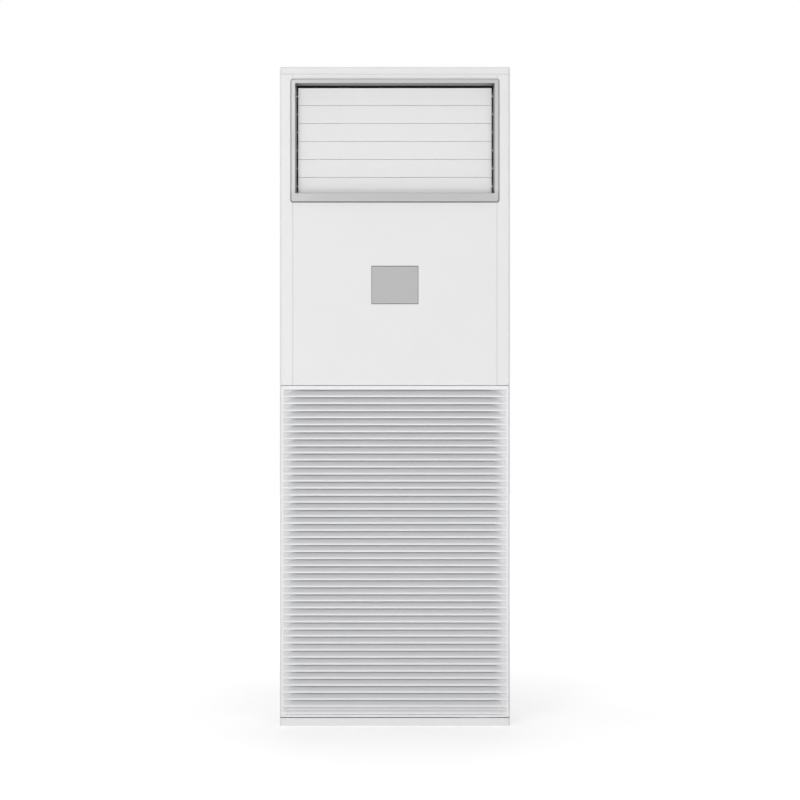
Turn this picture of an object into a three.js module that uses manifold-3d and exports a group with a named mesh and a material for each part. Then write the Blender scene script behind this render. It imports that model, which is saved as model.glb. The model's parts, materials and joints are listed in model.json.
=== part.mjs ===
// Floor standing air conditioner, cabinet type. Millimetres, +Z up, the front faces -Y.
import * as THREE from "three";
import { mergeVertices } from "three/addons/utils/BufferGeometryUtils.js";
import Module from "manifold-3d";

const wasm = await Module();
wasm.setup();

// ---- driving dimensions ---------------------------------------------------------------
const HEIGHT = 1750; // floor to the top of the cover
const WIDTH = 612; // over the side panels
const DEPTH = 370; // outlet frame to wall bracket
const FIT = 0.4; // clearance between fixed pieces that touch
const SKIN = 2.5; // moulded plastic wall
const SHEET = 1.5; // steel sheet

const HALF = WIDTH / 2;
const FRONT_Y = -DEPTH / 2; // front of the outlet frame
const FRAME_PROUD = 9; // outlet frame stands this far in front of the panel
const PANEL_Y = FRONT_Y + FRAME_PROUD; // face of the front panel
const BRACKET_T = 2.5; // wall bracket plate
const BACK_Y = DEPTH / 2 - BRACKET_T - FIT; // rear face of the cabinet
const CORNER = 8.5; // rounding of the upright front corners
const CORNER_STEPS = 4;

const BASE_H = 21.3; // height of the base pan walls
const BASE_SET_BACK = 1.5; // base pan behind the panel face
const COVER_Z0 = HEIGHT - 19; // lower edge of the top cover
const CASING_Z1 = COVER_Z0 - FIT;
const RETURN_Y = PANEL_Y + 29; // rear edge of the side returns of grille and casing
const SIDE_Y0 = RETURN_Y + 2; // front edge of the steel side panels
const SIDE_FLANGE = 12;

const GRILLE_Z0 = BASE_H + 2.2;
const GRILLE_Z1 = 0.516 * HEIGHT;
const CASING_Z0 = GRILLE_Z1 + 1.5;
const POST_W = 35; // corner post, seen from the front
const POST_SLOPE = 1.2; // the post falls back this far from seam to corner
const SEAM_X = HALF - POST_W; // upright seam between front panel and corner posts
const PANEL_T = 3;
const LEDGE_X = SEAM_X - 9; // inner edge of the ledge that carries the panel
const CREASE_Z = CASING_Z0 + 25.5; // the panel bends back below this height
const CREASE_DROP = 1.6;
const RAIL_H = 22;
const RAIL_DEPTH = 20;

const LOUVRES = 6;
const LOUVRE_PITCH = 48;
const FRAME_LAP = 6.3; // the outlet frame covers the seams by this much
const FRAME_X = SEAM_X + FRAME_LAP; // outlet frame, half width outside
const FRAME_Z1 = COVER_Z0 - 11.8;
const FRAME_END_DROP = 5; // the ends of the frame lie this far behind its middle
const FRAME_CORNER = 6;
const MOUTH_X = FRAME_X - 11.3; // outlet mouth at the front
const MOUTH_Z1 = FRAME_Z1 - 12.2;
const LOUVRE_TOP_Z = MOUTH_Z1 - 32; // pivot of the uppermost louvre
const MOUTH_Z0 = LOUVRE_TOP_Z - LOUVRE_PITCH * (LOUVRES - 1) - 20.4;
const FRAME_Z0 = MOUTH_Z0 - 24.1;
const MOUTH_DRAFT = 4.5; // the mouth narrows by this much towards the louvres
const NECK_T = 2.6;
const PANEL_Z1 = FRAME_Z0 + 11.5; // upper edge of the front panel, behind the frame
const STRIP_Z0 = FRAME_Z1 - 7.2; // lower edge of the strip above the frame

const DISPLAY_W = 124;
const DISPLAY_H = 101;
const DISPLAY_DROP = 231.3; // centre of the display below the panel's upper edge
const DISPLAY_Z = PANEL_Z1 - DISPLAY_DROP;
const DISPLAY_FLANGE = 4;
const DISPLAY_INSET = 0.6;
const PLUG = { wide: 48, high: 14, deep: 9 }; // socket on the back of the display board

const LOUVRE_Y = PANEL_Y + 25; // pivot line of the louvres
const NECK_Y1 = LOUVRE_Y - 6; // rear edge of the frame neck
const LOUVRE_X = MOUTH_X - 8.2; // half length
const LOUVRE_HALF = LOUVRE_PITCH / 2 - 0.4; // half chord
const PIVOT_R = 2;
const PIVOT_SIDES = 8;
const BEARING_CLEAR = 0.5;
const CRANK_R = 14; // pivot to link pin
const CRANK_ANGLE = 40; // degrees above level when the louvres are closed
const CRANK_T = 2.2;
const LINK_T = 2.4;
const LINK_W = 6;
const LINK_PIN_R = 1.4;
const STRIP_T = 6; // thickness of the bearing strips

const DUCT_T = 3;
const DUCT_X = SEAM_X + 4.4; // outside half width of the outlet duct
const DUCT_Y0 = LOUVRE_Y - 5.4;
const DUCT_Y1 = DUCT_Y0 + 116.4;
const DUCT_Z0 = MOUTH_Z0 - 8.6;
const DUCT_Z1 = MOUTH_Z1 + 2;

const LINER_T = 18; // foam on the rear wall of the plenum
const LINER_COVE = 60; // sweep between its rear wall and its ceiling
const LINER_LAP = 20; // its ceiling starts over the rear end of the duct
const LINER_LIFT = 26; // its foot stands this far above the coil

const VANES = 7;
const VANE_PITCH = (2 * (MOUTH_X - 44)) / (VANES - 1);
const VANE_Y = LOUVRE_Y + 59; // pivot line of the upright vanes
const VANE_HALF = 27; // half chord
const VANE_T = 2;
const VANE_END_GAP = 3;
const VANE_ARM = 33; // pivot to link pin
const VANE_LUG_Z = DUCT_Z0 + 19;

const BLADES = 46;
const BLADE_LAP = 0.8; // each blade rises this far behind the nose of the blade above
const NOSE_H = 2.6; // upright front edge of a blade
const BLADE_DEPTH = 13.5;
const BORDER_TOP = 9.7; // grille border above the blades
const LOWEST_NOSE = 9.6; // foot of the lowest blade above the grille's lower edge
const FOOT_LIP = 4.5; // upright lip along the grille's lower edge
const BLADE_PITCH = (GRILLE_Z1 - GRILLE_Z0 - BORDER_TOP - LOWEST_NOSE) / BLADES;
const CHEEK_X = HALF - 56; // the blade ends run out between here and the corner
const FOOT_GROOVE = 3.2; // depth of the groove between the lip and the lowest blade
const FOOT_RAMP = 48; // the lowest blades run out over this height
const RIB_X = WIDTH / 7.2;
const RIB_DEPTH = 9;
const HINGE_Y = PANEL_Y + 7;
const HINGE_Z = GRILLE_Z0 + 8.5;
const HINGE_LUG_X = HALF - 19;
const HINGE_LUG_T = 2.5;
const HINGE_PIN_L = 12; // from the lug's face outwards
const GRILLE_OPENS = 30; // degrees that the grille tips forward
const CATCH_X = HALF - 106; // spring catches between casing and grille
const CATCH_HALF = 12;
const CATCH_Y = PANEL_Y + 15;
const CATCH_T = 6;

const FILTER_X = HALF - 44;
const FILTER_Z0 = GRILLE_Z0 + 37;
const FILTER_Z1 = GRILLE_Z1 - 13;
const FILTER_T = 3;
const NET_T = 0.8;

const DECK_DROP = 183; // deck below the grille's upper edge
const DECK_Z = GRILLE_Z1 - DECK_DROP; // steel deck between fan and coil
const SCROLL_R1 = HALF - 34; // scroll radius at the outlet wall
const SCROLL_R0 = SCROLL_R1 - 72; // scroll radius at the tongue
const TONGUE_DEG = 75;
const SCROLL_Y0 = PANEL_Y + 134;
const SCROLL_Y1 = BACK_Y - 82.1;
const FAN_X = -25;
const NECK_RISE = 48; // upright neck between the scroll and the deck
const FAN_Z = DECK_Z - SCROLL_R1 - NECK_RISE;
const WHEEL_R = SCROLL_R0 - 13;
const WHEEL_EYE_R = WHEEL_R - 29;
const WHEEL_Y0 = SCROLL_Y0 + 17;
const WHEEL_Y1 = SCROLL_Y1 - 15;
const WHEEL_BLADES = 36;
const EYE_R = WHEEL_EYE_R + 10; // inlet opening of the scroll
const SHAFT_R = 6;
const MOTOR_R = 62;
const MOTOR_L = 62;

const COIL_Y = PANEL_Y + 81; // foot of the coil
const COIL_Z = DECK_Z + 32;
const COIL_L = 530;
const COIL_T = 40;
const COIL_X = HALF - 61;
const COIL_LEAN = BACK_Y - COIL_Y - 53.1; // the head of the coil lies this far behind its foot
const COIL_TILT = Math.asin(COIL_LEAN / COIL_L);
const TUBE_R = 4.75;
const TUBE_PASSES = 8;
const TUBE_PITCH = 66;
const TUBE_FIRST = 34;
const TUBE_SIDES = 8;
const TUBE_CLEAR = 0.7;
const SUCTION_R = 8;
const PAN_X = HALF - 44;
const PAN_Y0 = PANEL_Y + 38;
const PAN_Y1 = PAN_Y0 + 90;
const PAN_H = 44;
const SPOUT_R = 8.5;
const SPOUT_L = 24;
const SPOUT_X = 20 - PAN_X;
const SPOUT_Y = PAN_Y0 + 20;
const PIPE_X = HALF - 19;
const SUCTION_END = 70; // ends of the two pipes above the opening in the back panel
const LIQUID_END = 85;
const PIPE_REAR_Y = BACK_Y - 107; // the liquid pipe goes down here
const HOSE_X = 18 - HALF;
const HOSE_DROP = 80; // straight run under the spout, and the drop of the run to the wall
const HOSE_TAIL = 62; // its end stays this far inside the back panel

const BOX_X0 = 94 - HALF;
const BOX_Y0 = PANEL_Y + 44;
const BOX_Y1 = SCROLL_Y0 - 10;
const BOX_Z0 = DECK_Z - 94;
const BOARD_T = 1.6;
const BOARD_MARGIN = 10;
const TRANSFORMER = { wide: 40, high: 40, deep: 28 };
const RELAY = { wide: 28, high: 20, deep: 18 };
const TERMINAL_BLOCK = { wide: 60, high: 12, deep: 13 };
const CAPACITOR = { wide: 30, high: 45, deep: 24 };

const PORT_X1 = HALF - 31; // pipe opening in the back panel
const PORT_X0 = PORT_X1 - 90;
const PORT_Z0 = BASE_H + 40;
const PORT_Z1 = PORT_Z0 + 70;
const GLAND_X = 106 - HALF;
const GLAND_Z = BASE_H + 90;
const GLAND_R = 12;
const BRACKET_W = 120;
const BRACKET_H = 55;
const BRACKET_Z1 = HEIGHT - 35;

// ---- shape helpers ----------------------------------------------------------------------
const rad = (degrees) => (degrees * Math.PI) / 180;

function box(x0, x1, y0, y1, z0, z1) {
  const shape = new THREE.BoxGeometry(x1 - x0, y1 - y0, z1 - z0);
  return shape.translate((x0 + x1) / 2, (y0 + y1) / 2, (z0 + z1) / 2);
}

// Prism standing on an XY outline.
function prismZ(outline, z0, z1) {
  const shape = new THREE.Shape(outline.map(([x, y]) => new THREE.Vector2(x, y)));
  const solid = new THREE.ExtrudeGeometry(shape, { depth: z1 - z0, bevelEnabled: false });
  return solid.translate(0, 0, z0);
}

// Prism from an XZ outline, running along Y.
function prismY(outline, y0, y1) {
  return prismZ(outline, -y1, -y0).rotateX(Math.PI / 2);
}

// Prism from a YZ outline, running along X.
function prismX(outline, x0, x1) {
  const turn = new THREE.Matrix4().set(0, 0, 1, 0, 1, 0, 0, 0, 0, 1, 0, 0, 0, 0, 0, 1);
  return prismZ(outline, x0, x1).applyMatrix4(turn);
}

function rodX(radius, x0, x1, y, z, sides) {
  const rod = new THREE.CylinderGeometry(radius, radius, x1 - x0, sides).rotateZ(Math.PI / 2);
  return rod.translate((x0 + x1) / 2, y, z);
}

function rodY(radius, x, y0, y1, z, sides) {
  return new THREE.CylinderGeometry(radius, radius, y1 - y0, sides).translate(x, (y0 + y1) / 2, z);
}

function rodZ(radius, x, y, z0, z1, sides) {
  const rod = new THREE.CylinderGeometry(radius, radius, z1 - z0, sides).rotateX(Math.PI / 2);
  return rod.translate(x, y, (z0 + z1) / 2);
}

// Box whose front and rear faces have their own edges.
function taperedBox(front, back) {
  const shape = new THREE.BoxGeometry(2, 2, 2);
  const spots = shape.attributes.position;
  for (let i = 0; i < spots.count; i++) {
    const end = spots.getY(i) < 0 ? front : back;
    const x = spots.getX(i) < 0 ? -end.x : end.x;
    const z = spots.getZ(i) < 0 ? end.z0 : end.z1;
    spots.setXYZ(i, x, end.y, z);
  }
  return shape;
}

function mirrored(outline) {
  return outline.map(([x, y]) => [-x, y]);
}

// Two ends in rising order.
function span(a, b) {
  return [Math.min(a, b), Math.max(a, b)];
}

// Plan outline of the cabinet with its two rounded front corners.
function planOutline(half, yFront, yBack, corner) {
  const side = [];
  for (let i = 0; i <= CORNER_STEPS; i++) {
    const turn = rad((90 * i) / CORNER_STEPS);
    side.push([half - corner + corner * Math.cos(turn), yFront + corner - corner * Math.sin(turn)]);
  }
  return [[half, yBack], ...side, ...mirrored(side).reverse(), [-half, yBack]];
}

function toManifold(shape) {
  const bare = shape.clone();
  bare.deleteAttribute("normal");
  bare.deleteAttribute("uv");
  const welded = mergeVertices(bare, 1e-4);
  const mesh = new wasm.Mesh({
    numProp: 3,
    vertProperties: new Float32Array(welded.attributes.position.array),
    triVerts: new Uint32Array(welded.index.array),
  });
  return new wasm.Manifold(mesh);
}

function fromManifold(solid) {
  const mesh = solid.getMesh();
  const shape = new THREE.BufferGeometry();
  shape.setAttribute("position", new THREE.BufferAttribute(mesh.vertProperties, 3));
  shape.setIndex(new THREE.BufferAttribute(mesh.triVerts, 1));
  shape.computeVertexNormals();
  return shape;
}

function join(...shapes) {
  return fromManifold(shapes.flat().map(toManifold).reduce((a, b) => a.add(b)));
}

function cut(body, ...tools) {
  return fromManifold([body, ...tools.flat()].map(toManifold).reduce((a, b) => a.subtract(b)));
}

function common(...shapes) {
  return fromManifold(shapes.map(toManifold).reduce((a, b) => a.intersect(b)));
}

// Line of points with each inner corner replaced by a bend.
function bent(corners, bend, steps) {
  const points = [corners[0]];
  for (let i = 1; i < corners.length - 1; i++) {
    const here = corners[i];
    const start = corners[i - 1].clone().sub(here).setLength(bend).add(here);
    const end = corners[i + 1].clone().sub(here).setLength(bend).add(here);
    const curve = new THREE.QuadraticBezierCurve3(start, here, end);
    points.push(...curve.getPoints(steps));
  }
  points.push(corners[corners.length - 1]);
  return points;
}

// Round pipe or bar along a line of points, closed at both ends.
function sweep(points, radius, sides) {
  const spots = [];
  const faces = [];
  let normal = null;
  points.forEach((point, i) => {
    const before = points[Math.max(i - 1, 0)];
    const after = points[Math.min(i + 1, points.length - 1)];
    const along = after.clone().sub(before).normalize();
    normal = normal ?? (Math.abs(along.z) < 0.9 ? new THREE.Vector3(0, 0, 1) : new THREE.Vector3(0, 1, 0));
    normal = normal.clone().addScaledVector(along, -normal.dot(along)).normalize();
    const side = along.clone().cross(normal);
    for (let k = 0; k < sides; k++) {
      const turn = (2 * Math.PI * k) / sides;
      const spot = point.clone().addScaledVector(normal, radius * Math.cos(turn));
      spots.push(...spot.addScaledVector(side, radius * Math.sin(turn)).toArray());
    }
  });
  for (let i = 0; i < points.length - 1; i++) {
    for (let k = 0; k < sides; k++) {
      const a = i * sides + k;
      const b = i * sides + ((k + 1) % sides);
      faces.push(a, b, b + sides, a, b + sides, a + sides);
    }
  }
  const last = (points.length - 1) * sides;
  for (let k = 1; k < sides - 1; k++) {
    faces.push(0, k + 1, k, last, last + k, last + k + 1);
  }
  const shape = new THREE.BufferGeometry();
  shape.setAttribute("position", new THREE.Float32BufferAttribute(spots, 3));
  shape.setIndex(faces);
  shape.computeVertexNormals();
  return shape;
}

// ---- materials ----------------------------------------------------------------------------
const paint = (color, roughness, metalness) => ({ color, roughness, metalness });
const WHITE_PLASTIC = paint(0xe9eaec, 0.45, 0);
const WHITE_STEEL = paint(0xe6e7e9, 0.5, 0.1);
const SILVER = paint(0xc3c4c8, 0.35, 0.6);
const LENS_GREY = paint(0xb9bbbf, 0.3, 0);
const GALVANISED = paint(0xa9adb0, 0.5, 0.7);
const ALUMINIUM = paint(0xc8ccd0, 0.45, 0.8);
const COPPER = paint(0xb5704a, 0.35, 0.9);
const GREY_PLASTIC = paint(0x5c6064, 0.6, 0);
const BLACK_PLASTIC = paint(0x232527, 0.6, 0);
const FOAM = paint(0xf2f2ef, 0.9, 0);
const BOARD_GREEN = paint(0x2f6b46, 0.6, 0);
const FILTER_NET = paint(0x6d7478, 0.8, 0);
const STEEL = paint(0x8e9296, 0.4, 0.9);

const group = new THREE.Group();

function add(name, shape, finish) {
  const mesh = new THREE.Mesh(shape, new THREE.MeshStandardMaterial(finish));
  mesh.name = name;
  group.add(mesh);
}

// ---- cabinet ------------------------------------------------------------------------------
// Side view of a hinge lug. Its front edge leans back by the grille's opening angle, so that the
// grille's lower border swings past it.
function hingeLug() {
  const reach = HINGE_Y - PANEL_Y - SKIN - FIT;
  const lean = rad(GRILLE_OPENS);
  const drop = HINGE_Z - GRILLE_Z0 + FIT;
  const cheekY = HINGE_Y - reach * Math.cos(lean);
  const cheekZ = HINGE_Z - reach * Math.sin(lean);
  const heelY = cheekY + drop * Math.sin(lean);
  const head = 2 * PIVOT_R;
  return [
    [heelY, SHEET / 2],
    [HINGE_Y + 2 * head, SHEET / 2],
    [HINGE_Y + 2 * head, HINGE_Z + head],
    [HINGE_Y - reach + head / 2, HINGE_Z + head],
    [HINGE_Y - reach, HINGE_Z + head / 2],
    [HINGE_Y - reach, HINGE_Z],
    [cheekY, cheekZ],
    [heelY, cheekZ - drop * Math.cos(lean)],
  ];
}

function basePan() {
  const front = PANEL_Y + BASE_SET_BACK;
  const outer = prismZ(planOutline(HALF, front, BACK_Y, CORNER), 0, BASE_H);
  const inner = planOutline(HALF - SHEET, front + SHEET, BACK_Y - SHEET, CORNER - SHEET);
  const tray = cut(outer, prismZ(inner, SHEET, BASE_H + 1));
  const pieces = [tray];
  for (const side of [-1, 1]) {
    const [x0, x1] = span(side * HINGE_LUG_X, side * (HINGE_LUG_X + HINGE_LUG_T));
    pieces.push(prismX(hingeLug(), x0, x1));
    const pin = span(side * (HINGE_LUG_X + HINGE_LUG_T / 2), side * (HINGE_LUG_X + HINGE_PIN_L));
    pieces.push(rodX(PIVOT_R, ...pin, HINGE_Y, HINGE_Z, PIVOT_SIDES));
  }
  return join(pieces);
}

const BACK_INSIDE = BACK_Y - SHEET;
const SIDE_Y1 = BACK_INSIDE - FIT;
const STEEL_Z0 = BASE_H + FIT;

function sidePanel(side) {
  const flange = HALF - SHEET - SIDE_FLANGE;
  const outline = [
    [HALF, SIDE_Y0],
    [HALF, SIDE_Y1],
    [flange, SIDE_Y1],
    [flange, SIDE_Y1 - SHEET],
    [HALF - SHEET, SIDE_Y1 - SHEET],
    [HALF - SHEET, SIDE_Y0 + SHEET],
    [flange, SIDE_Y0 + SHEET],
    [flange, SIDE_Y0],
  ];
  return prismZ(side < 0 ? mirrored(outline) : outline, STEEL_Z0, CASING_Z1);
}

function backPanel() {
  const sheet = box(-HALF, HALF, BACK_INSIDE, BACK_Y, STEEL_Z0, CASING_Z1);
  const port = box(PORT_X0, PORT_X1, BACK_INSIDE - 1, BACK_Y + 1, PORT_Z0, PORT_Z1);
  const hole = rodY(GLAND_R + FIT, GLAND_X, BACK_INSIDE - 1, BACK_Y + 1, GLAND_Z, 16);
  return cut(sheet, port, hole);
}

function topCover() {
  const chamfer = 3;
  const sloped = (low, high) => [
    [low, 0],
    [high, 0],
    [high, HEIGHT - chamfer],
    [high - chamfer, HEIGHT],
    [low + chamfer, HEIGHT],
    [low, HEIGHT - chamfer],
  ];
  const outer = common(
    prismZ(planOutline(HALF, PANEL_Y, BACK_Y, CORNER), COVER_Z0, HEIGHT),
    prismY(sloped(-HALF, HALF), -DEPTH, DEPTH),
    prismX(sloped(PANEL_Y, BACK_Y), -WIDTH, WIDTH),
  );
  const inner = planOutline(HALF - SKIN, PANEL_Y + SKIN, BACK_Y - SKIN, CORNER - SKIN);
  return cut(outer, prismZ(inner, COVER_Z0 - 1, HEIGHT - chamfer - 1));
}

function wallBracket() {
  const half = BRACKET_W / 2;
  const middle = BRACKET_Z1 - BRACKET_H / 2;
  const plate = box(-half, half, BACK_Y + FIT, DEPTH / 2, BRACKET_Z1 - BRACKET_H, BRACKET_Z1);
  const slots = [-35, 35].map((x) => box(x - 12, x + 12, BACK_Y, DEPTH, middle - 4.5, middle + 4.5));
  return cut(plate, slots);
}

function cableGland() {
  const barrel = rodY(GLAND_R, GLAND_X, BACK_INSIDE - 12, BACK_Y + 2, GLAND_Z, 16);
  const collar = rodY(GLAND_R + 5, GLAND_X, BACK_INSIDE - 8, BACK_INSIDE - FIT, GLAND_Z, 16);
  const bore = rodY(GLAND_R - 5, GLAND_X, BACK_INSIDE - 20, BACK_Y + 5, GLAND_Z, 16);
  return cut(join(barrel, collar), bore);
}

// ---- upper front --------------------------------------------------------------------------
const LEDGE_Y = PANEL_Y + PANEL_T + FIT;

function cornerPost(side) {
  const outer = [];
  const inner = [];
  const rise = PANEL_Y + POST_SLOPE;
  for (let i = 0; i <= CORNER_STEPS; i++) {
    const turn = rad((90 * i) / CORNER_STEPS);
    const x = HALF - CORNER;
    const y = rise + CORNER;
    outer.push([x + CORNER * Math.cos(turn), y - CORNER * Math.sin(turn)]);
    inner.push([x + (CORNER - SKIN) * Math.cos(turn), y - (CORNER - SKIN) * Math.sin(turn)]);
  }
  const seam = SEAM_X + FIT / 2;
  const outline = [
    [HALF, RETURN_Y],
    ...outer,
    [seam, PANEL_Y],
    [seam, LEDGE_Y],
    [LEDGE_X, LEDGE_Y],
    [LEDGE_X, LEDGE_Y + SKIN],
    [seam + SKIN, LEDGE_Y + SKIN],
    [seam + SKIN, PANEL_Y + SKIN],
    ...inner.reverse(),
    [HALF - SKIN, RETURN_Y],
  ];
  return prismZ(side < 0 ? mirrored(outline) : outline, CASING_Z0, CASING_Z1);
}

function rail(z0, flangeZ) {
  const reach = LEDGE_X + 4;
  return [
    box(-reach, reach, LEDGE_Y, LEDGE_Y + SKIN, z0, z0 + RAIL_H),
    box(-reach, reach, LEDGE_Y, LEDGE_Y + RAIL_DEPTH, flangeZ, flangeZ + SKIN),
  ];
}

// Slot for a catch through a flange whose lower face is at z, open as far back as yEnd.
function catchSlot(x, z, yEnd) {
  const half = CATCH_HALF + FIT;
  return box(x - half, x + half, CATCH_Y - FIT, yEnd, z - 1, z + SKIN + 1);
}

function frontCasing() {
  const frame = join(
    cornerPost(-1),
    cornerPost(1),
    rail(CASING_Z0, CASING_Z0),
    rail(PANEL_Z1 - RAIL_H, PANEL_Z1 - SKIN),
    rail(CASING_Z1 - RAIL_H, CASING_Z1 - SKIN),
  );
  const slots = [-CATCH_X, CATCH_X].map((x) => catchSlot(x, CASING_Z0, CATCH_Y + CATCH_T + FIT));
  return cut(frame, slots, box(-SEAM_X, SEAM_X, PANEL_Y - 1, RETURN_Y, PANEL_Z1, STRIP_Z0));
}

function frontPanel() {
  const back = PANEL_Y + PANEL_T;
  const outline = [
    [back, CASING_Z0],
    [back, PANEL_Z1],
    [PANEL_Y, PANEL_Z1],
    [PANEL_Y, CREASE_Z],
    [PANEL_Y + CREASE_DROP, CASING_Z0],
  ];
  const sheet = prismX(outline, -SEAM_X + FIT / 2, SEAM_X - FIT / 2);
  const x = DISPLAY_W / 2 + FIT;
  const z = DISPLAY_H / 2 + FIT;
  return cut(sheet, box(-x, x, PANEL_Y - 1, back + 1, DISPLAY_Z - z, DISPLAY_Z + z));
}

function topStrip() {
  return box(-SEAM_X + FIT / 2, SEAM_X - FIT / 2, PANEL_Y, PANEL_Y + PANEL_T, STRIP_Z0, CASING_Z1);
}

function displayWindow() {
  const x = DISPLAY_W / 2;
  const z = DISPLAY_H / 2;
  const back = PANEL_Y + PANEL_T + FIT;
  const edge = DISPLAY_FLANGE;
  return join(
    box(-x, x, PANEL_Y + DISPLAY_INSET, back + 1, DISPLAY_Z - z, DISPLAY_Z + z),
    box(-x - edge, x + edge, back, back + 2, DISPLAY_Z - z - edge, DISPLAY_Z + z + edge),
  );
}

function displayBoard() {
  const y = PANEL_Y + PANEL_T + 2 * FIT + 2;
  const x = DISPLAY_W / 2 - 2;
  const z = DISPLAY_H / 2 - 2;
  const plugZ = DISPLAY_Z - z + 8;
  return join(
    box(-x, x, y, y + BOARD_T, DISPLAY_Z - z, DISPLAY_Z + z),
    box(-PLUG.wide / 2, PLUG.wide / 2, y + BOARD_T / 2, y + PLUG.deep, plugZ, plugZ + PLUG.high),
  );
}

function roundedFront(x, z0, z1, corner) {
  const outline = [];
  const centres = [
    [x - corner, z1 - corner],
    [corner - x, z1 - corner],
    [corner - x, z0 + corner],
    [x - corner, z0 + corner],
  ];
  centres.forEach(([cx, cz], quarter) => {
    for (let i = 0; i <= 3; i++) {
      const turn = rad(90 * quarter + 30 * i);
      outline.push([cx + corner * Math.cos(turn), cz + corner * Math.sin(turn)]);
    }
  });
  return outline;
}

function outletFrame() {
  const seat = PANEL_Y - FIT;
  const bow = [
    [FRAME_X, seat],
    [FRAME_X, FRONT_Y + FRAME_END_DROP],
    [0.85 * FRAME_X, FRONT_Y + 0.3 * FRAME_END_DROP],
    [0.55 * FRAME_X, FRONT_Y],
  ];
  const plan = [...bow, ...mirrored(bow).reverse()];
  const ring = common(
    prismZ(plan, FRAME_Z0, FRAME_Z1),
    prismY(roundedFront(FRAME_X, FRAME_Z0, FRAME_Z1, FRAME_CORNER), FRONT_Y - 1, seat + 1),
  );
  const x = MOUTH_X + NECK_T;
  const neck = box(-x, x, seat - 1, NECK_Y1, MOUTH_Z0 - MOUTH_DRAFT - NECK_T, MOUTH_Z1 + NECK_T);
  const mouth = taperedBox(
    { x: MOUTH_X, z0: MOUTH_Z0, z1: MOUTH_Z1, y: FRONT_Y - 0.5 },
    { x: MOUTH_X - MOUTH_DRAFT, z0: MOUTH_Z0 - MOUTH_DRAFT, z1: MOUTH_Z1 - MOUTH_DRAFT, y: NECK_Y1 + 0.5 },
  );
  return cut(join(ring, neck), mouth);
}

// ---- louvres ------------------------------------------------------------------------------
const louvreZ = (i) => LOUVRE_TOP_Z - LOUVRE_PITCH * i;
const CRANK_X = LOUVRE_X + FIT;
const LINK_X = CRANK_X + CRANK_T + BEARING_CLEAR;
const STRIP_X = DUCT_X - DUCT_T - FIT; // outer face of the bearing strips

function crankPin(i) {
  const turn = rad(CRANK_ANGLE);
  return [LOUVRE_Y + CRANK_R * Math.cos(turn), louvreZ(i) + CRANK_R * Math.sin(turn)];
}

function louvre(i) {
  const z = louvreZ(i);
  const face = LOUVRE_Y - 2;
  const outline = [
    [face, z - LOUVRE_HALF + 1],
    [face, z + LOUVRE_HALF - 1],
    [face + 0.8, z + LOUVRE_HALF],
    [face + 1.8, z + LOUVRE_HALF],
    [LOUVRE_Y + 2, z + 6],
    [LOUVRE_Y + 2, z - 6],
    [face + 1.8, z - LOUVRE_HALF],
    [face + 0.8, z - LOUVRE_HALF],
  ];
  const [pinY, pinZ] = crankPin(i);
  const arm = [
    [LOUVRE_Y - 3, z - 1],
    [LOUVRE_Y - 1, z + 4],
    [pinY - 1, pinZ + 3],
    [pinY + 3, pinZ + 1],
    [pinY + 1, pinZ - 3],
    [LOUVRE_Y + 3, z - 3],
  ];
  const leftEnd = i === 0 ? DUCT_X + 5 : STRIP_X - 1;
  return join(
    prismX(outline, -LOUVRE_X, LOUVRE_X),
    rodX(PIVOT_R, -leftEnd, -LOUVRE_X + 1, LOUVRE_Y, z, PIVOT_SIDES),
    rodX(PIVOT_R, LOUVRE_X - 1, STRIP_X - 1, LOUVRE_Y, z, PIVOT_SIDES),
    prismX(arm, LOUVRE_X - 1, CRANK_X + CRANK_T),
    rodX(LINK_PIN_R, CRANK_X, LINK_X + LINK_T + 0.5, pinY, pinZ, PIVOT_SIDES),
  );
}

function louvreLink() {
  const [y, top] = crankPin(0);
  const foot = crankPin(LOUVRES - 1)[1];
  const half = LINK_W / 2;
  const bar = box(LINK_X, LINK_X + LINK_T, y - half, y + half, foot - half - 1, top + half + 1);
  const holes = [];
  for (let i = 0; i < LOUVRES; i++) {
    holes.push(rodX(LINK_PIN_R + FIT, LINK_X - 1, LINK_X + LINK_T + 1, y, crankPin(i)[1], PIVOT_SIDES));
  }
  return cut(bar, holes);
}

function bearingStrip(side) {
  const x0 = STRIP_X - STRIP_T;
  const strip = box(x0, STRIP_X, LOUVRE_Y - 5, LOUVRE_Y + 5, DUCT_Z0 + DUCT_T + FIT, DUCT_Z1 - DUCT_T - FIT);
  const holes = [];
  for (let i = 0; i < LOUVRES; i++) {
    holes.push(rodX(PIVOT_R + BEARING_CLEAR, x0 - 1, STRIP_X + 1, LOUVRE_Y, louvreZ(i), PIVOT_SIDES));
  }
  const shape = cut(strip, holes);
  return side < 0 ? shape.rotateZ(Math.PI).translate(0, 2 * LOUVRE_Y, 0) : shape;
}

function louvreMotor() {
  const x = -DUCT_X - FIT;
  const body = rodX(12, x - 16, x, LOUVRE_Y, LOUVRE_TOP_Z, 16);
  const ears = box(x - 2, x, LOUVRE_Y - 3.5, LOUVRE_Y + 3.5, LOUVRE_TOP_Z - 19, LOUVRE_TOP_Z + 19);
  const bore = rodX(PIVOT_R + BEARING_CLEAR, x - 7, x + 1, LOUVRE_Y, LOUVRE_TOP_Z, PIVOT_SIDES);
  return cut(join(body, ears), bore);
}

// ---- outlet duct and upright vanes ----------------------------------------------------------
const vaneX = (i) => VANE_PITCH * (i - (VANES - 1) / 2);
const VANE_Z0 = DUCT_Z0 + DUCT_T + VANE_END_GAP;
const VANE_Z1 = DUCT_Z1 - DUCT_T - VANE_END_GAP;

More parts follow.
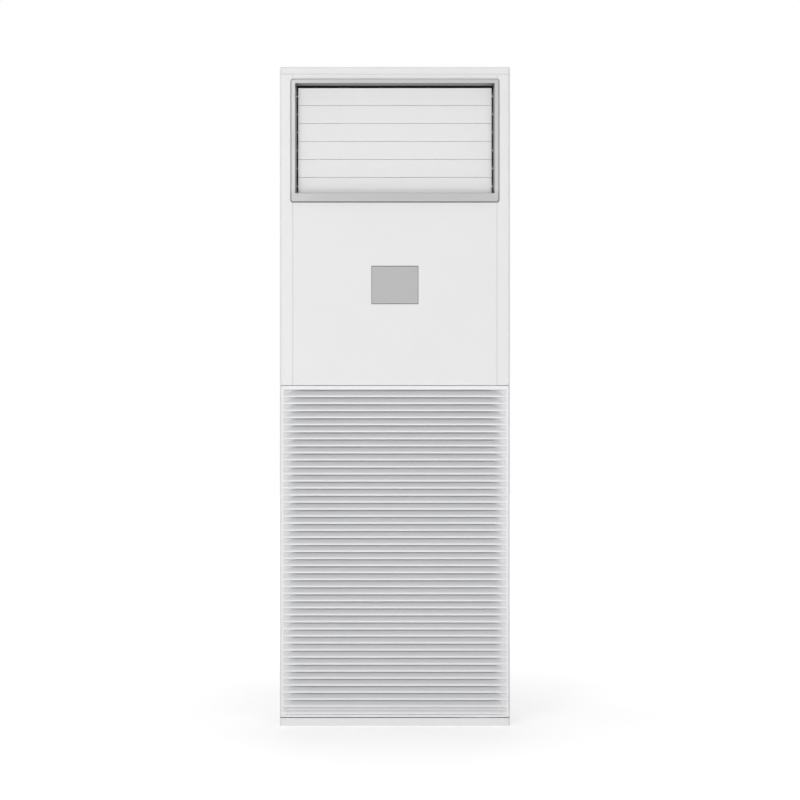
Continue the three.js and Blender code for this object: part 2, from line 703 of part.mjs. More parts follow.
function outletDuct() {
  const shell = box(-DUCT_X, DUCT_X, DUCT_Y0, DUCT_Y1, DUCT_Z0, DUCT_Z1);
  const x = DUCT_X - DUCT_T;
  const room = box(-x, x, DUCT_Y0 - 1, DUCT_Y1 + 1, DUCT_Z0 + DUCT_T, DUCT_Z1 - DUCT_T);
  const radius = PIVOT_R + BEARING_CLEAR;
  const holes = [rodX(radius, -DUCT_X - 1, -x + 1, LOUVRE_Y, LOUVRE_TOP_Z, PIVOT_SIDES)];
  for (let i = 0; i < VANES; i++) {
    holes.push(rodZ(radius, vaneX(i), VANE_Y, DUCT_Z0 - 1, DUCT_Z1 + 1, PIVOT_SIDES));
  }
  return cut(shell, room, holes);
}

function vane(i) {
  const x = vaneX(i);
  const half = VANE_T / 2;
  const outline = [
    [x - half, VANE_Y - 6],
    [x - 0.4 * half, VANE_Y - VANE_HALF],
    [x + 0.4 * half, VANE_Y - VANE_HALF],
    [x + half, VANE_Y - 6],
    [x + half, VANE_Y + VANE_HALF],
    [x - half, VANE_Y + VANE_HALF],
  ];
  const pinY = VANE_Y + VANE_ARM;
  const lug = box(x - 4, x + 4, pinY - 10, pinY + 4, VANE_LUG_Z, VANE_LUG_Z + 3);
  const hole = rodZ(LINK_PIN_R + FIT, x, pinY, VANE_LUG_Z - 1, VANE_LUG_Z + 4, PIVOT_SIDES);
  const foot = i === 0 ? DUCT_Z0 - 6 : DUCT_Z0 - 1;
  const body = join(
    prismZ(outline, VANE_Z0, VANE_Z1),
    rodZ(PIVOT_R, x, VANE_Y, foot, VANE_Z0 + 4, PIVOT_SIDES),
    rodZ(PIVOT_R, x, VANE_Y, VANE_Z1 - 4, DUCT_Z1 + 1, PIVOT_SIDES),
    lug,
  );
  return cut(body, hole);
}

function vaneLink() {
  const y = VANE_Y + VANE_ARM;
  const top = VANE_LUG_Z - FIT;
  const half = LINK_W / 2;
  const pieces = [box(vaneX(0) - 6, vaneX(VANES - 1) + 6, y - half, y + half, top - LINK_T, top)];
  for (let i = 0; i < VANES; i++) {
    pieces.push(rodZ(LINK_PIN_R, vaneX(i), y, top - 1, VANE_LUG_Z + 4, PIVOT_SIDES));
  }
  return join(pieces);
}

function vaneMotor() {
  const x = vaneX(0);
  const top = DUCT_Z0 - FIT;
  const body = rodZ(12, x, VANE_Y, top - 16, top, 16);
  const ears = box(x - 19, x + 19, VANE_Y - 3.5, VANE_Y + 3.5, top - 2, top);
  const bore = rodZ(PIVOT_R + BEARING_CLEAR, x, VANE_Y, top - 8, top + 1, PIVOT_SIDES);
  return cut(join(body, ears), bore);
}

function plenumLiner() {
  const back = SIDE_Y1 - SHEET - FIT;
  const top = CASING_Z1 - FIT;
  const foot = coilPoint(0, COIL_T / 2, COIL_L).z + LINER_LIFT;
  const front = DUCT_Y1 - LINER_LAP;
  const face = back - LINER_T;
  const ceiling = DUCT_Z1 + FIT;
  const outline = [
    [back, foot],
    [back, top],
    [front, top],
    [front, ceiling],
    [face - LINER_COVE, ceiling],
    [face - LINER_COVE / 4, ceiling - 0.75 * LINER_COVE],
    [face, ceiling - 1.8 * LINER_COVE],
    [face, foot],
  ];
  return prismX(outline, -DUCT_X, DUCT_X);
}

// ---- coil ---------------------------------------------------------------------------------
// Coil pieces are built upright at the origin and then leaned back onto their foot.
function leaned(shape) {
  return shape.rotateX(-COIL_TILT).translate(0, COIL_Y, COIL_Z);
}

const tubeZ = (i) => TUBE_FIRST + TUBE_PITCH * i;

function coilPoint(x, y, z) {
  const point = new THREE.Vector3(x, y, z).applyAxisAngle(new THREE.Vector3(1, 0, 0), -COIL_TILT);
  return point.add(new THREE.Vector3(0, COIL_Y, COIL_Z));
}

function tubeHoles(x0, x1) {
  const holes = [];
  for (let i = 0; i < TUBE_PASSES; i++) {
    holes.push(rodX(TUBE_R + TUBE_CLEAR, x0, x1, 0, tubeZ(i), TUBE_SIDES));
  }
  return holes;
}

function coilFins() {
  const block = box(-COIL_X, COIL_X, -COIL_T / 2, COIL_T / 2, 0, COIL_L);
  return leaned(cut(block, tubeHoles(-COIL_X - 1, COIL_X + 1)));
}

function coilEndPlate(side) {
  const [x0, x1] = span(side * (COIL_X + FIT), side * (COIL_X + FIT + SHEET));
  const plate = box(x0, x1, -COIL_T / 2 - 3, COIL_T / 2 + 3, -1, COIL_L + 1);
  return leaned(cut(plate, tubeHoles(x0 - 1, x1 + 1)));
}

function coilTube() {
  const end = COIL_X + 8;
  const radius = TUBE_PITCH / 2;
  const points = [coilPoint(end, 0, tubeZ(0))];
  for (let i = 0; i < TUBE_PASSES - 1; i++) {
    const side = i % 2 === 0 ? -1 : 1;
    for (let k = 0; k <= 4; k++) {
      const turn = rad(45 * k);
      const x = side * (end + radius * Math.sin(turn));
      points.push(coilPoint(x, 0, tubeZ(i) + radius * (1 - Math.cos(turn))));
    }
  }
  points.push(coilPoint(end, 0, tubeZ(TUBE_PASSES - 1)));
  return sweep(points, TUBE_R, TUBE_SIDES);
}

function drainPan() {
  const floor = DECK_Z + SHEET + FIT;
  const tray = cut(
    box(-PAN_X, PAN_X, PAN_Y0, PAN_Y1, floor, floor + PAN_H),
    box(-PAN_X + SKIN, PAN_X - SKIN, PAN_Y0 + SKIN, PAN_Y1 - SKIN, floor + SKIN, floor + PAN_H + 1),
  );
  const seatZ = COIL_Z - (COIL_T / 2) * Math.sin(COIL_TILT) - FIT;
  const ribs = [-1, 1].map((side) => {
    const x = (side * PAN_X) / 1.5;
    return box(x - 2, x + 2, PAN_Y0 + 1, PAN_Y1 - 1, floor + 1, seatZ);
  });
  const spout = rodZ(SPOUT_R, SPOUT_X, SPOUT_Y, floor - SPOUT_L, floor + 1, 12);
  const bore = rodZ(SPOUT_R - SKIN, SPOUT_X, SPOUT_Y, floor - SPOUT_L - 1, floor + SKIN + 1, 12);
  return cut(join(tray, ribs, spout), bore);
}

function drainHose() {
  const start = DECK_Z - FIT;
  const end = BACK_Y - HOSE_TAIL;
  const low = BASE_H + 40;
  const bore = SPOUT_R + 2 * FIT;
  const line = (top, tail) => bent([
    new THREE.Vector3(SPOUT_X, SPOUT_Y, top),
    new THREE.Vector3(SPOUT_X, SPOUT_Y, start - HOSE_DROP),
    new THREE.Vector3(HOSE_X, SPOUT_Y, start - 2 * HOSE_DROP),
    new THREE.Vector3(HOSE_X, SPOUT_Y, low),
    new THREE.Vector3(HOSE_X, tail, low),
  ], 25, 3);
  return cut(sweep(line(start, end), bore + SKIN, 10), sweep(line(start + 2, end + 2), bore, 10));
}

function coilBaffle() {
  const tip = coilPoint(0, COIL_T / 2, COIL_L);
  const wall = SIDE_Y1 - SHEET - FIT;
  const outline = [
    [tip.y + 2, tip.z + 6],
    [wall, tip.z + 6],
    [wall, tip.z - 30],
    [wall - SKIN, tip.z - 30],
    [wall - SKIN, tip.z + 6 - SKIN],
    [tip.y + 2, tip.z + 6 - SKIN],
  ];
  return prismX(outline, -COIL_X - 2, COIL_X + 2);
}

// ---- pipes ----------------------------------------------------------------------------------
// Pipe from a coil pass out to the right and down; it shifts to another depth on its way if asked.
function coolantPipe(pass, rearY, footZ, radius) {
  const start = coilPoint(COIL_X + 8 + FIT, 0, tubeZ(pass));
  const corners = [start, new THREE.Vector3(PIPE_X, start.y, start.z)];
  if (rearY !== null) {
    const shift = start.z - 50;
    corners.push(new THREE.Vector3(PIPE_X, start.y, shift), new THREE.Vector3(PIPE_X, rearY, shift));
  }
  const lastY = corners[corners.length - 1].y;
  corners.push(new THREE.Vector3(PIPE_X, lastY, footZ));
  const pipe = sweep(bent(corners, 15, 3), radius, 8);
  const nut = rodZ(radius + 5, PIPE_X, lastY, footZ - 4, footZ + 18, 6);
  return join(pipe, nut);
}

// ---- deck and fan -----------------------------------------------------------------------------
const NECK_X0 = FAN_X + SCROLL_R0 * Math.cos(rad(TONGUE_DEG)); // inside of the scroll outlet
const NECK_X1 = FAN_X + SCROLL_R1;

function deckPlate() {
  const x = HALF - SHEET - FIT;
  const rear = SIDE_Y1 - SHEET - FIT;
  const front = SIDE_Y0 + SHEET + FIT;
  const lip = 15;
  const blank = box(-x, x, front, rear, DECK_Z - lip, DECK_Z + SHEET);
  const room = box(-x + SHEET, x - SHEET, front + SHEET, rear - SHEET, DECK_Z - lip - 1, DECK_Z);
  const mouth = box(NECK_X0, NECK_X1, SCROLL_Y0 + SKIN, SCROLL_Y1 - SKIN, DECK_Z - 1, DECK_Z + SHEET + 1);
  const slotRear = PIPE_REAR_Y + 65;
  const pipeSlot = box(PIPE_X - 14, x + 1, PIPE_REAR_Y - 15, slotRear, DECK_Z - lip - 1, DECK_Z + SHEET + 1);
  const spoutHole = rodZ(SPOUT_R + FIT, SPOUT_X, SPOUT_Y, DECK_Z - 1, DECK_Z + SHEET + 1, 12);
  return cut(blank, room, mouth, pipeSlot, spoutHole);
}

// Snail outline of the scroll, opening upwards on the right; grow moves every wall outwards.
function scrollOutline(grow, top) {
  const steps = 19;
  const tongueZ = FAN_Z + SCROLL_R0 * Math.sin(rad(TONGUE_DEG));
  const outline = [[NECK_X0 - grow, top], [NECK_X0 - grow, tongueZ + grow]];
  for (let i = 1; i <= steps; i++) {
    const turn = rad(TONGUE_DEG + ((360 - TONGUE_DEG) * i) / steps);
    const radius = SCROLL_R0 + ((SCROLL_R1 - SCROLL_R0) * i) / steps + grow;
    outline.push([FAN_X + radius * Math.cos(turn), FAN_Z + radius * Math.sin(turn)]);
  }
  outline.push([NECK_X1 + grow, top]);
  return outline;
}

function fanScroll() {
  const top = DECK_Z - FIT;
  const shell = prismY(scrollOutline(SKIN, top), SCROLL_Y0, SCROLL_Y1);
  const room = prismY(scrollOutline(0, top + 5), SCROLL_Y0 + SKIN, SCROLL_Y1 - SKIN);
  const eye = rodY(EYE_R, FAN_X, SCROLL_Y0 - 1, SCROLL_Y0 + SKIN + 1, FAN_Z, 32);
  const shaftHole = rodY(20, FAN_X, SCROLL_Y1 - SKIN - 1, SCROLL_Y1 + 1, FAN_Z, 16);
  return cut(shell, room, eye, shaftHole);
}

function inletRing() {
  const seat = SCROLL_Y0 - FIT;
  const profile = [
    [EYE_R + 22, seat],
    [EYE_R + 22, seat - 3],
    [EYE_R + 4, seat - 4],
    [EYE_R - 8, seat + 4],
    [EYE_R - 11, seat + 12],
    [EYE_R - 8.5, seat + 12],
    [EYE_R - 3, seat],
    [EYE_R + 22, seat],
  ];
  const points = profile.map(([r, y]) => new THREE.Vector2(r, y));
  return new THREE.LatheGeometry(points.reverse(), 28).translate(FAN_X, 0, FAN_Z);
}

function wheelBlade(k) {
  const turn = (2 * Math.PI * k) / WHEEL_BLADES;
  const camber = [[WHEEL_EYE_R + 3, 0], [WHEEL_EYE_R + 16, 0.025], [WHEEL_R - 3, 0.085]];
  const line = camber.map(([radius, lead]) => new THREE.Vector2(
    radius * Math.cos(turn + lead), radius * Math.sin(turn + lead)));
  const half = 0.9;
  const offset = (side) => line.map((point, i) => {
    const along = line[Math.min(i + 1, 2)].clone().sub(line[Math.max(i - 1, 0)]).normalize();
    return [FAN_X + point.x - side * half * along.y, FAN_Z + point.y + side * half * along.x];
  });
  return prismY([...offset(1), ...offset(-1).reverse()], WHEEL_Y0 + 2, WHEEL_Y1 - 1);
}

function fanWheel() {
  const disc = rodY(WHEEL_R, FAN_X, WHEEL_Y1 - 3, WHEEL_Y1, FAN_Z, WHEEL_BLADES);
  const hub = rodY(22, FAN_X, WHEEL_Y1 - 45, WHEEL_Y1 - 1, FAN_Z, 16);
  const rim = cut(
    rodY(WHEEL_R, FAN_X, WHEEL_Y0, WHEEL_Y0 + 4, FAN_Z, WHEEL_BLADES),
    rodY(WHEEL_EYE_R, FAN_X, WHEEL_Y0 - 1, WHEEL_Y0 + 5, FAN_Z, WHEEL_BLADES),
  );
  const blades = [];
  for (let k = 0; k < WHEEL_BLADES; k++) {
    blades.push(wheelBlade(k));
  }
  const bore = rodY(SHAFT_R + FIT, FAN_X, WHEEL_Y1 - 50, WHEEL_Y1 + 1, FAN_Z, 12);
  return cut(join(disc, hub, rim, blades), bore);
}

const MOUNT_Y = SCROLL_Y1 + FIT;
const MOUNT_T = 3;
const MOTOR_Y = MOUNT_Y + MOUNT_T + FIT;

function fanShaft() {
  return rodY(SHAFT_R, FAN_X, WHEEL_Y1 - 55, MOTOR_Y + 16, FAN_Z, 12);
}

function motorMount() {
  const plate = box(FAN_X - 95, FAN_X + 95, MOUNT_Y, MOUNT_Y + MOUNT_T, FAN_Z - 95, FAN_Z + 95);
  return cut(plate, rodY(18, FAN_X, MOUNT_Y - 1, MOUNT_Y + MOUNT_T + 1, FAN_Z, 16));
}

function fanMotor() {
  const can = rodY(MOTOR_R, FAN_X, MOTOR_Y, MOTOR_Y + MOTOR_L, FAN_Z, 24);
  const flange = rodY(MOTOR_R + 16, FAN_X, MOTOR_Y, MOTOR_Y + 4, FAN_Z, 24);
  const bore = rodY(SHAFT_R + FIT, FAN_X, MOTOR_Y - 1, MOTOR_Y + 18, FAN_Z, 12);
  return cut(join(can, flange), bore);
}

// ---- intake grille ----------------------------------------------------------------------------
const BLADE_Z0 = GRILLE_Z1 - BORDER_TOP + BLADE_LAP; // top of the first blade
const BLADE_H = BLADE_PITCH + BLADE_LAP;
const BLADE_BACK = PANEL_Y + BLADE_DEPTH;
const CHEEK_T = 2.2;
const CHEEK_FACE = PANEL_Y + 0.5; // the cheek leaves the corner just behind the blade noses
const GRILLE_HALF = HALF - FIT;
const SHOULDER = GRILLE_HALF - CORNER;

// Half width of the cheek face at a given depth.
function cheekX(y) {
  return SHOULDER - ((y - CHEEK_FACE) * (SHOULDER - CHEEK_X)) / (BLADE_BACK - CHEEK_FACE);
}

function blade(k) {
  const top = BLADE_Z0 - BLADE_PITCH * k;
  const foot = top - BLADE_H;
  const outline = [
    [PANEL_Y, foot],
    [PANEL_Y, foot + NOSE_H],
    [BLADE_BACK, top],
    [BLADE_BACK, top - NOSE_H],
    [PANEL_Y + NOSE_H, foot],
  ];
  const shape = prismX(outline, -1, 1);
  const spots = shape.attributes.position;
  for (let i = 0; i < spots.count; i++) {
    spots.setX(i, spots.getX(i) * cheekX(spots.getY(i) - CHEEK_T / 2));
  }
  return shape;
}

// Skin from the rounded corner inwards, falling back so that the blade ends run out on it.
function cheek(side) {
  const outer = [];
  const inner = [];
  for (let i = 0; i <= CORNER_STEPS; i++) {
    const turn = rad((90 * i) / CORNER_STEPS);
    outer.push([SHOULDER + CORNER * Math.cos(turn), PANEL_Y + CORNER - CORNER * Math.sin(turn)]);
    const small = CORNER - CHEEK_T;
    inner.push([SHOULDER + small * Math.cos(turn), PANEL_Y + CORNER - small * Math.sin(turn)]);
  }
  const outline = [
    [GRILLE_HALF, RETURN_Y],
    ...outer,
    [SHOULDER - 0.5, CHEEK_FACE],
    [cheekX(BLADE_BACK), BLADE_BACK],
    [cheekX(BLADE_BACK), BLADE_BACK + CHEEK_T],
    [SHOULDER - 0.5, CHEEK_FACE + CHEEK_T],
    ...inner.reverse().slice(1),
    [GRILLE_HALF - CHEEK_T, RETURN_Y],
  ];
  return prismZ(side < 0 ? mirrored(outline) : outline, GRILLE_Z0, GRILLE_Z1);
}

// Lower border: a lip, then a ramp that falls back behind the lowest blades.
function grilleFoot() {
  const lip = GRILLE_Z0 + FOOT_LIP;
  const groove = GRILLE_Z0 + LOWEST_NOSE;
  const shelf = PANEL_Y + 16;
  const outline = [
    [PANEL_Y, GRILLE_Z0],
    [PANEL_Y, lip],
    [PANEL_Y + FOOT_GROOVE, groove],
    [BLADE_BACK - 3, groove + 0.65 * FOOT_RAMP],
    [BLADE_BACK - 0.5, groove + FOOT_RAMP],
    [BLADE_BACK + 1.5, groove + FOOT_RAMP],
    [BLADE_BACK - 0.5, groove + 0.65 * FOOT_RAMP],
    [PANEL_Y + FOOT_GROOVE + SKIN, groove],
    [PANEL_Y + SKIN, GRILLE_Z0 + SKIN],
    [shelf, GRILLE_Z0 + SKIN],
    [shelf, GRILLE_Z0],
  ];
  return prismX(outline, -SHOULDER, SHOULDER);
}

function grilleHead() {
  const z = GRILLE_Z1 - BORDER_TOP;
  const outline = [
    [PANEL_Y, z],
    [PANEL_Y, GRILLE_Z1],
    [RETURN_Y, GRILLE_Z1],
    [RETURN_Y, GRILLE_Z1 - SKIN],
    [PANEL_Y + SKIN, GRILLE_Z1 - SKIN],
    [PANEL_Y + SKIN, z],
  ];
  return prismX(outline, -SHOULDER, SHOULDER);
}

// Room behind the grille's lower border in which the hinge lug turns.
function lugPocket() {
  const front = PANEL_Y + SKIN;
  const rear = PANEL_Y + 20;
  return [
    [front, GRILLE_Z0 - 1],
    [rear, GRILLE_Z0 - 1],
    [rear, HINGE_Z + 6],
    [front + 2, HINGE_Z + 6],
    [front, HINGE_Z + 3],
  ];
}

function intakeGrille() {
  const pieces = [cheek(-1), cheek(1), grilleFoot(), grilleHead()];
  for (let k = 0; k < BLADES; k++) {
    pieces.push(blade(k));
  }
  const [ribY0, ribY1] = [BLADE_BACK - 1, BLADE_BACK + RIB_DEPTH];
  for (const x of [-RIB_X, RIB_X]) {
    pieces.push(box(x - 1.2, x + 1.2, ribY0, ribY1, GRILLE_Z0 + 1, GRILLE_Z1 - 1));
  }
  for (const side of [-1, 1]) {
    const [x0, x1] = span(side * (HINGE_LUG_X - 4), side * (HALF - SKIN));
    pieces.push(box(x0, x1, PANEL_Y + 1.2, HINGE_Y + 6, GRILLE_Z0 + 1, HINGE_Z + 9));
  }
  const body = join(pieces);
  const tools = [-CATCH_X, CATCH_X].map((x) => catchSlot(x, GRILLE_Z1 - SKIN, RETURN_Y + 1));
  for (const side of [-1, 1]) {
    const lug = side * (HINGE_LUG_X + HINGE_LUG_T / 2);
    tools.push(prismX(lugPocket(), lug - 3, lug + 3));
    const bore = span(lug, side * (HINGE_LUG_X + HINGE_PIN_L + 1));
    tools.push(rodX(PIVOT_R + BEARING_CLEAR, ...bore, HINGE_Y, HINGE_Z, PIVOT_SIDES));
  }
  return cut(body, tools);
}

const FILTER_Y = BLADE_BACK + RIB_DEPTH + FIT;

function filterFrame() {
  const columns = 4;
  const rows = 5;
  const rim = 8;
  const bar = 4;
  const plate = box(-FILTER_X, FILTER_X, FILTER_Y, FILTER_Y + FILTER_T, FILTER_Z0, FILTER_Z1);
  const wide = (2 * FILTER_X - 2 * rim - (columns - 1) * bar) / columns;
  const high = (FILTER_Z1 - FILTER_Z0 - 2 * rim - (rows - 1) * bar) / rows;
  const windows = [];
  for (let i = 0; i < columns; i++) {
    for (let j = 0; j < rows; j++) {
      const x = -FILTER_X + rim + i * (wide + bar);
      const z = FILTER_Z0 + rim + j * (high + bar);
      windows.push(box(x, x + wide, FILTER_Y - 1, FILTER_Y + FILTER_T + 1, z, z + high));
    }
  }
  return cut(plate, windows);
}

function filterNet() {
  const y = FILTER_Y + FILTER_T + FIT / 2;
  return box(-FILTER_X + 3, FILTER_X - 3, y, y + NET_T, FILTER_Z0 + 3, FILTER_Z1 - 3);
}

function grilleCatch(side) {
  const x = side * CATCH_X;
  const foot = CASING_Z0 - 12;
  const head = CASING_Z0 + SKIN + FIT;
  return join(
    box(x - CATCH_HALF, x + CATCH_HALF, CATCH_Y, CATCH_Y + CATCH_T, foot, head + 1),
    box(x - CATCH_HALF - 4, x + CATCH_HALF + 4, CATCH_Y - 3, CATCH_Y + CATCH_T + 3, head, head + 3),
  );
}

// ---- controls -----------------------------------------------------------------------------------
const BOX_Z1 = DECK_Z - FIT;
const BOX_X1 = NECK_X0 - SKIN - 12;

function controlBox() {
  const outer = box(BOX_X0, BOX_X1, BOX_Y0, BOX_Y1, BOX_Z0, BOX_Z1);
  const inner = box(BOX_X0 + SKIN, BOX_X1 - SKIN, BOX_Y0 - 1, BOX_Y1 - SKIN, BOX_Z0 + SKIN, BOX_Z1 - SKIN);
  return cut(outer, inner);
}

function controlBoxCover() {
  return box(BOX_X0, BOX_X1, BOX_Y0 - FIT - 2, BOX_Y0 - FIT, BOX_Z0, BOX_Z1 - 16);
}

function controlBoard() {
  const face = BOX_Y1 - SKIN - FIT;
  const left = BOX_X0 + BOARD_MARGIN;
  const foot = BOX_Z0 + BOARD_MARGIN;
  const board = box(left, BOX_X1 - BOARD_MARGIN, face - BOARD_T, face, foot, BOX_Z1 - BOARD_MARGIN);
  const place = (part, x, z) => {
    const [x0, z0] = [left + x, foot + z];
    const y0 = face - BOARD_T - part.deep;
    return box(x0, x0 + part.wide, y0, face - BOARD_T / 2, z0, z0 + part.high);
  };
  const second = TRANSFORMER.wide + 3 * BOARD_MARGIN;
  const third = second + RELAY.wide + BOARD_MARGIN;
  const last = BOX_X1 - 2 * BOARD_MARGIN - CAPACITOR.wide - left;
  return join(
    board,
    place(TRANSFORMER, BOARD_MARGIN, BOARD_MARGIN),
    place(RELAY, second, BOARD_MARGIN),
    place(RELAY, third, BOARD_MARGIN),
    place(TERMINAL_BLOCK, second, BOARD_MARGIN + RELAY.high + BOARD_MARGIN),
    place(CAPACITOR, last, BOARD_MARGIN),
  );
}

// ---- assembly -------------------------------------------------------------------------------------
add("base_pan", basePan(), WHITE_STEEL);
add("side_panel_left", sidePanel(-1), WHITE_STEEL);
add("side_panel_right", sidePanel(1), WHITE_STEEL);
add("back_panel", backPanel(), GALVANISED);
add("top_cover", topCover(), WHITE_PLASTIC);
add("wall_bracket", wallBracket(), STEEL);
add("cable_gland", cableGland(), BLACK_PLASTIC);
add("front_casing", frontCasing(), WHITE_PLASTIC);
add("front_panel", frontPanel(), WHITE_PLASTIC);
add("top_strip", topStrip(), WHITE_PLASTIC);
add("display_window", displayWindow(), LENS_GREY);
add("display_board", displayBoard(), BOARD_GREEN);
add("outlet_frame", outletFrame(), SILVER);
for (let i = 0; i < LOUVRES; i++) {
  add(`louvre_${i + 1}`, louvre(i), WHITE_PLASTIC);
}
add("louvre_link", louvreLink(), GREY_PLASTIC);
add("louvre_motor", louvreMotor(), STEEL);
add("bearing_strip_left", bearingStrip(-1), GREY_PLASTIC);
add("bearing_strip_right", bearingStrip(1), GREY_PLASTIC);
add("outlet_duct", outletDuct(), GREY_PLASTIC);
for (let i = 0; i < VANES; i++) {
  add(`vane_${i + 1}`, vane(i), GREY_PLASTIC);
}
add("vane_link", vaneLink(), GREY_PLASTIC);
add("vane_motor", vaneMotor(), STEEL);
add("plenum_liner", plenumLiner(), FOAM);
add("coil_fins", coilFins(), ALUMINIUM);
add("coil_tube", coilTube(), COPPER);
add("coil_end_plate_left", coilEndPlate(-1), GALVANISED);
add("coil_end_plate_right", coilEndPlate(1), GALVANISED);
add("coil_baffle", coilBaffle(), GALVANISED);
add("drain_pan", drainPan(), GREY_PLASTIC);
add("drain_hose", drainHose(), GREY_PLASTIC);
add("suction_pipe", coolantPipe(TUBE_PASSES - 1, null, PORT_Z1 + SUCTION_END, SUCTION_R), COPPER);
add("liquid_pipe", coolantPipe(0, PIPE_REAR_Y, PORT_Z1 + LIQUID_END, TUBE_R), COPPER);
add("deck_plate", deckPlate(), GALVANISED);
add("fan_scroll", fanScroll(), GALVANISED);
add("inlet_ring", inletRing(), GALVANISED);
add("fan_wheel", fanWheel(), GREY_PLASTIC);
add("fan_shaft", fanShaft(), STEEL);
add("fan_motor", fanMotor(), STEEL);
add("motor_mount", motorMount(), GALVANISED);
add("intake_grille", intakeGrille(), WHITE_PLASTIC);
add("filter_frame", filterFrame(), GREY_PLASTIC);
add("filter_net", filterNet(), FILTER_NET);
add("grille_catch_left", grilleCatch(-1), GREY_PLASTIC);
add("grille_catch_right", grilleCatch(1), GREY_PLASTIC);
add("control_box", controlBox(), GALVANISED);
add("control_box_cover", controlBoxCover(), GALVANISED);
add("control_board", controlBoard(), BOARD_GREEN);

export default group;
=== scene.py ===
"""Floor standing air conditioner: finishes, fine shapes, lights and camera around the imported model.

Metres, +Z up, the front faces -Y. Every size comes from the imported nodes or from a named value.
"""
import json
import math

import bmesh
import bpy
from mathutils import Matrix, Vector

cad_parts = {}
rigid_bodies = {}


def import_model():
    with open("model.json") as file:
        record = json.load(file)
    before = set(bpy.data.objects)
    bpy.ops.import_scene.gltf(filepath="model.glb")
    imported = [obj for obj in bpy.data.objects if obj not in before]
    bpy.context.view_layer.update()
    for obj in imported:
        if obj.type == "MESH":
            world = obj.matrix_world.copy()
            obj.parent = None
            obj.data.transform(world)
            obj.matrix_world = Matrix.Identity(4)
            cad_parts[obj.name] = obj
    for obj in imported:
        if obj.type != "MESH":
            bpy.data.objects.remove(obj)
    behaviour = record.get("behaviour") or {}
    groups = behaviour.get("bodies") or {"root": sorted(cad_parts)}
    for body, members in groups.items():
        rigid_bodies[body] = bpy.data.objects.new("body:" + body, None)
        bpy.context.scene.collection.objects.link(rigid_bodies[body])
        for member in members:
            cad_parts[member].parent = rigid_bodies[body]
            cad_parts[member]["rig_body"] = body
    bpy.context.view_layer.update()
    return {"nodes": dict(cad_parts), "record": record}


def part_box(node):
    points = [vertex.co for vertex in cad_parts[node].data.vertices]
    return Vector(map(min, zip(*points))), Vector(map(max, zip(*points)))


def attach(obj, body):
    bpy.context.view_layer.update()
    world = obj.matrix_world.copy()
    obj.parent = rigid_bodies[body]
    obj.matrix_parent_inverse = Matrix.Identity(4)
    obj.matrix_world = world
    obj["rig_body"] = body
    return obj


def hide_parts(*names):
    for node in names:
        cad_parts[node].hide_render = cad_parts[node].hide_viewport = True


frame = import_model()
NODES = frame["nodes"]
MM = 0.001

# ---- camera ---------------------------------------------------------------------------------
SENSOR = 36.0
VIEW_WIDTH = 2.1238  # seen across the picture at the front panel
CAMERA_X = 0.0135
CAMERA_Z = 0.8654
CAMERA_DISTANCE = 5.0  # from the front panel


def make_camera():
    data = bpy.data.cameras.new("camera")
    data.sensor_width = SENSOR
    data.lens = SENSOR * CAMERA_DISTANCE / VIEW_WIDTH
    camera = bpy.data.objects.new("camera", data)
    bpy.context.scene.collection.objects.link(camera)
    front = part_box("front_panel")[0].y
    camera.location = (CAMERA_X, front - CAMERA_DISTANCE, CAMERA_Z)
    camera.rotation_euler = (math.radians(90), 0, 0)
    bpy.context.scene.camera = camera


# ---- studio ---------------------------------------------------------------------------------
AMBIENT = 0.33
FLOOR_SIZE = 24.0
FLOOR_ALBEDO = 0.8
FLOOR_GLOW = (0.4, 1.0)  # under the object and far from it
FLOOR_REACH = (0.4, 4.5)  # the glow grows between these distances


def seen_directly(tree):
    """1 for rays from the camera, in gloss or through glass, 0 for the rays that light things."""
    path = put(tree, "ShaderNodeLightPath").outputs
    seen = math_of(tree, "MAXIMUM", path["Is Camera Ray"], path["Is Glossy Ray"])
    return math_of(tree, "MAXIMUM", seen, path["Is Transmission Ray"])


def make_world():
    world = bpy.data.worlds.new("studio")
    world.use_nodes = True
    bpy.context.scene.world = world
    tree = world.node_tree
    background = tree.nodes["Background"]
    background.inputs["Color"].default_value = (1, 1, 1, 1)
    strength = spread(tree, seen_directly(tree), AMBIENT, 1.0, 0.0, 1.0)
    tree.links.new(strength, background.inputs["Strength"])


def make_floor():
    mesh = bpy.data.meshes.new("floor")
    half = FLOOR_SIZE / 2
    corners = [(-half, -half, 0), (half, -half, 0), (half, half, 0), (-half, half, 0)]
    mesh.from_pydata(corners, [], [(0, 1, 2, 3)])
    floor = bpy.data.objects.new("floor", mesh)
    bpy.context.scene.collection.objects.link(floor)
    material, tree, shader = new_material("floor_pale")
    shader.inputs["Base Color"].default_value = (FLOOR_ALBEDO, FLOOR_ALBEDO, FLOOR_ALBEDO, 1)
    shader.inputs["Roughness"].default_value = 0.9
    shader.inputs["Specular IOR Level"].default_value = 0.1
    shader.inputs["Emission Color"].default_value = (1, 1, 1, 1)
    away = put(tree, "ShaderNodeVectorMath", operation="LENGTH")
    tree.links.new(place_of(tree), away.inputs[0])
    glow = spread(tree, away.outputs["Value"], *FLOOR_GLOW, *FLOOR_REACH)
    glow = math_of(tree, "MULTIPLY", seen_directly(tree), glow)
    tree.links.new(glow, shader.inputs["Emission Strength"])
    mesh.materials.append(material)


def add_softbox(name, place, target, size, power):
    data = bpy.data.lights.new(name, "AREA")
    data.shape = "RECTANGLE"
    data.size, data.size_y = size
    data.energy = power
    lamp = bpy.data.objects.new(name, data)
    bpy.context.scene.collection.objects.link(lamp)
    lamp.location = place
    lamp.rotation_euler = (Vector(target) - Vector(place)).to_track_quat("-Z", "Y").to_euler()


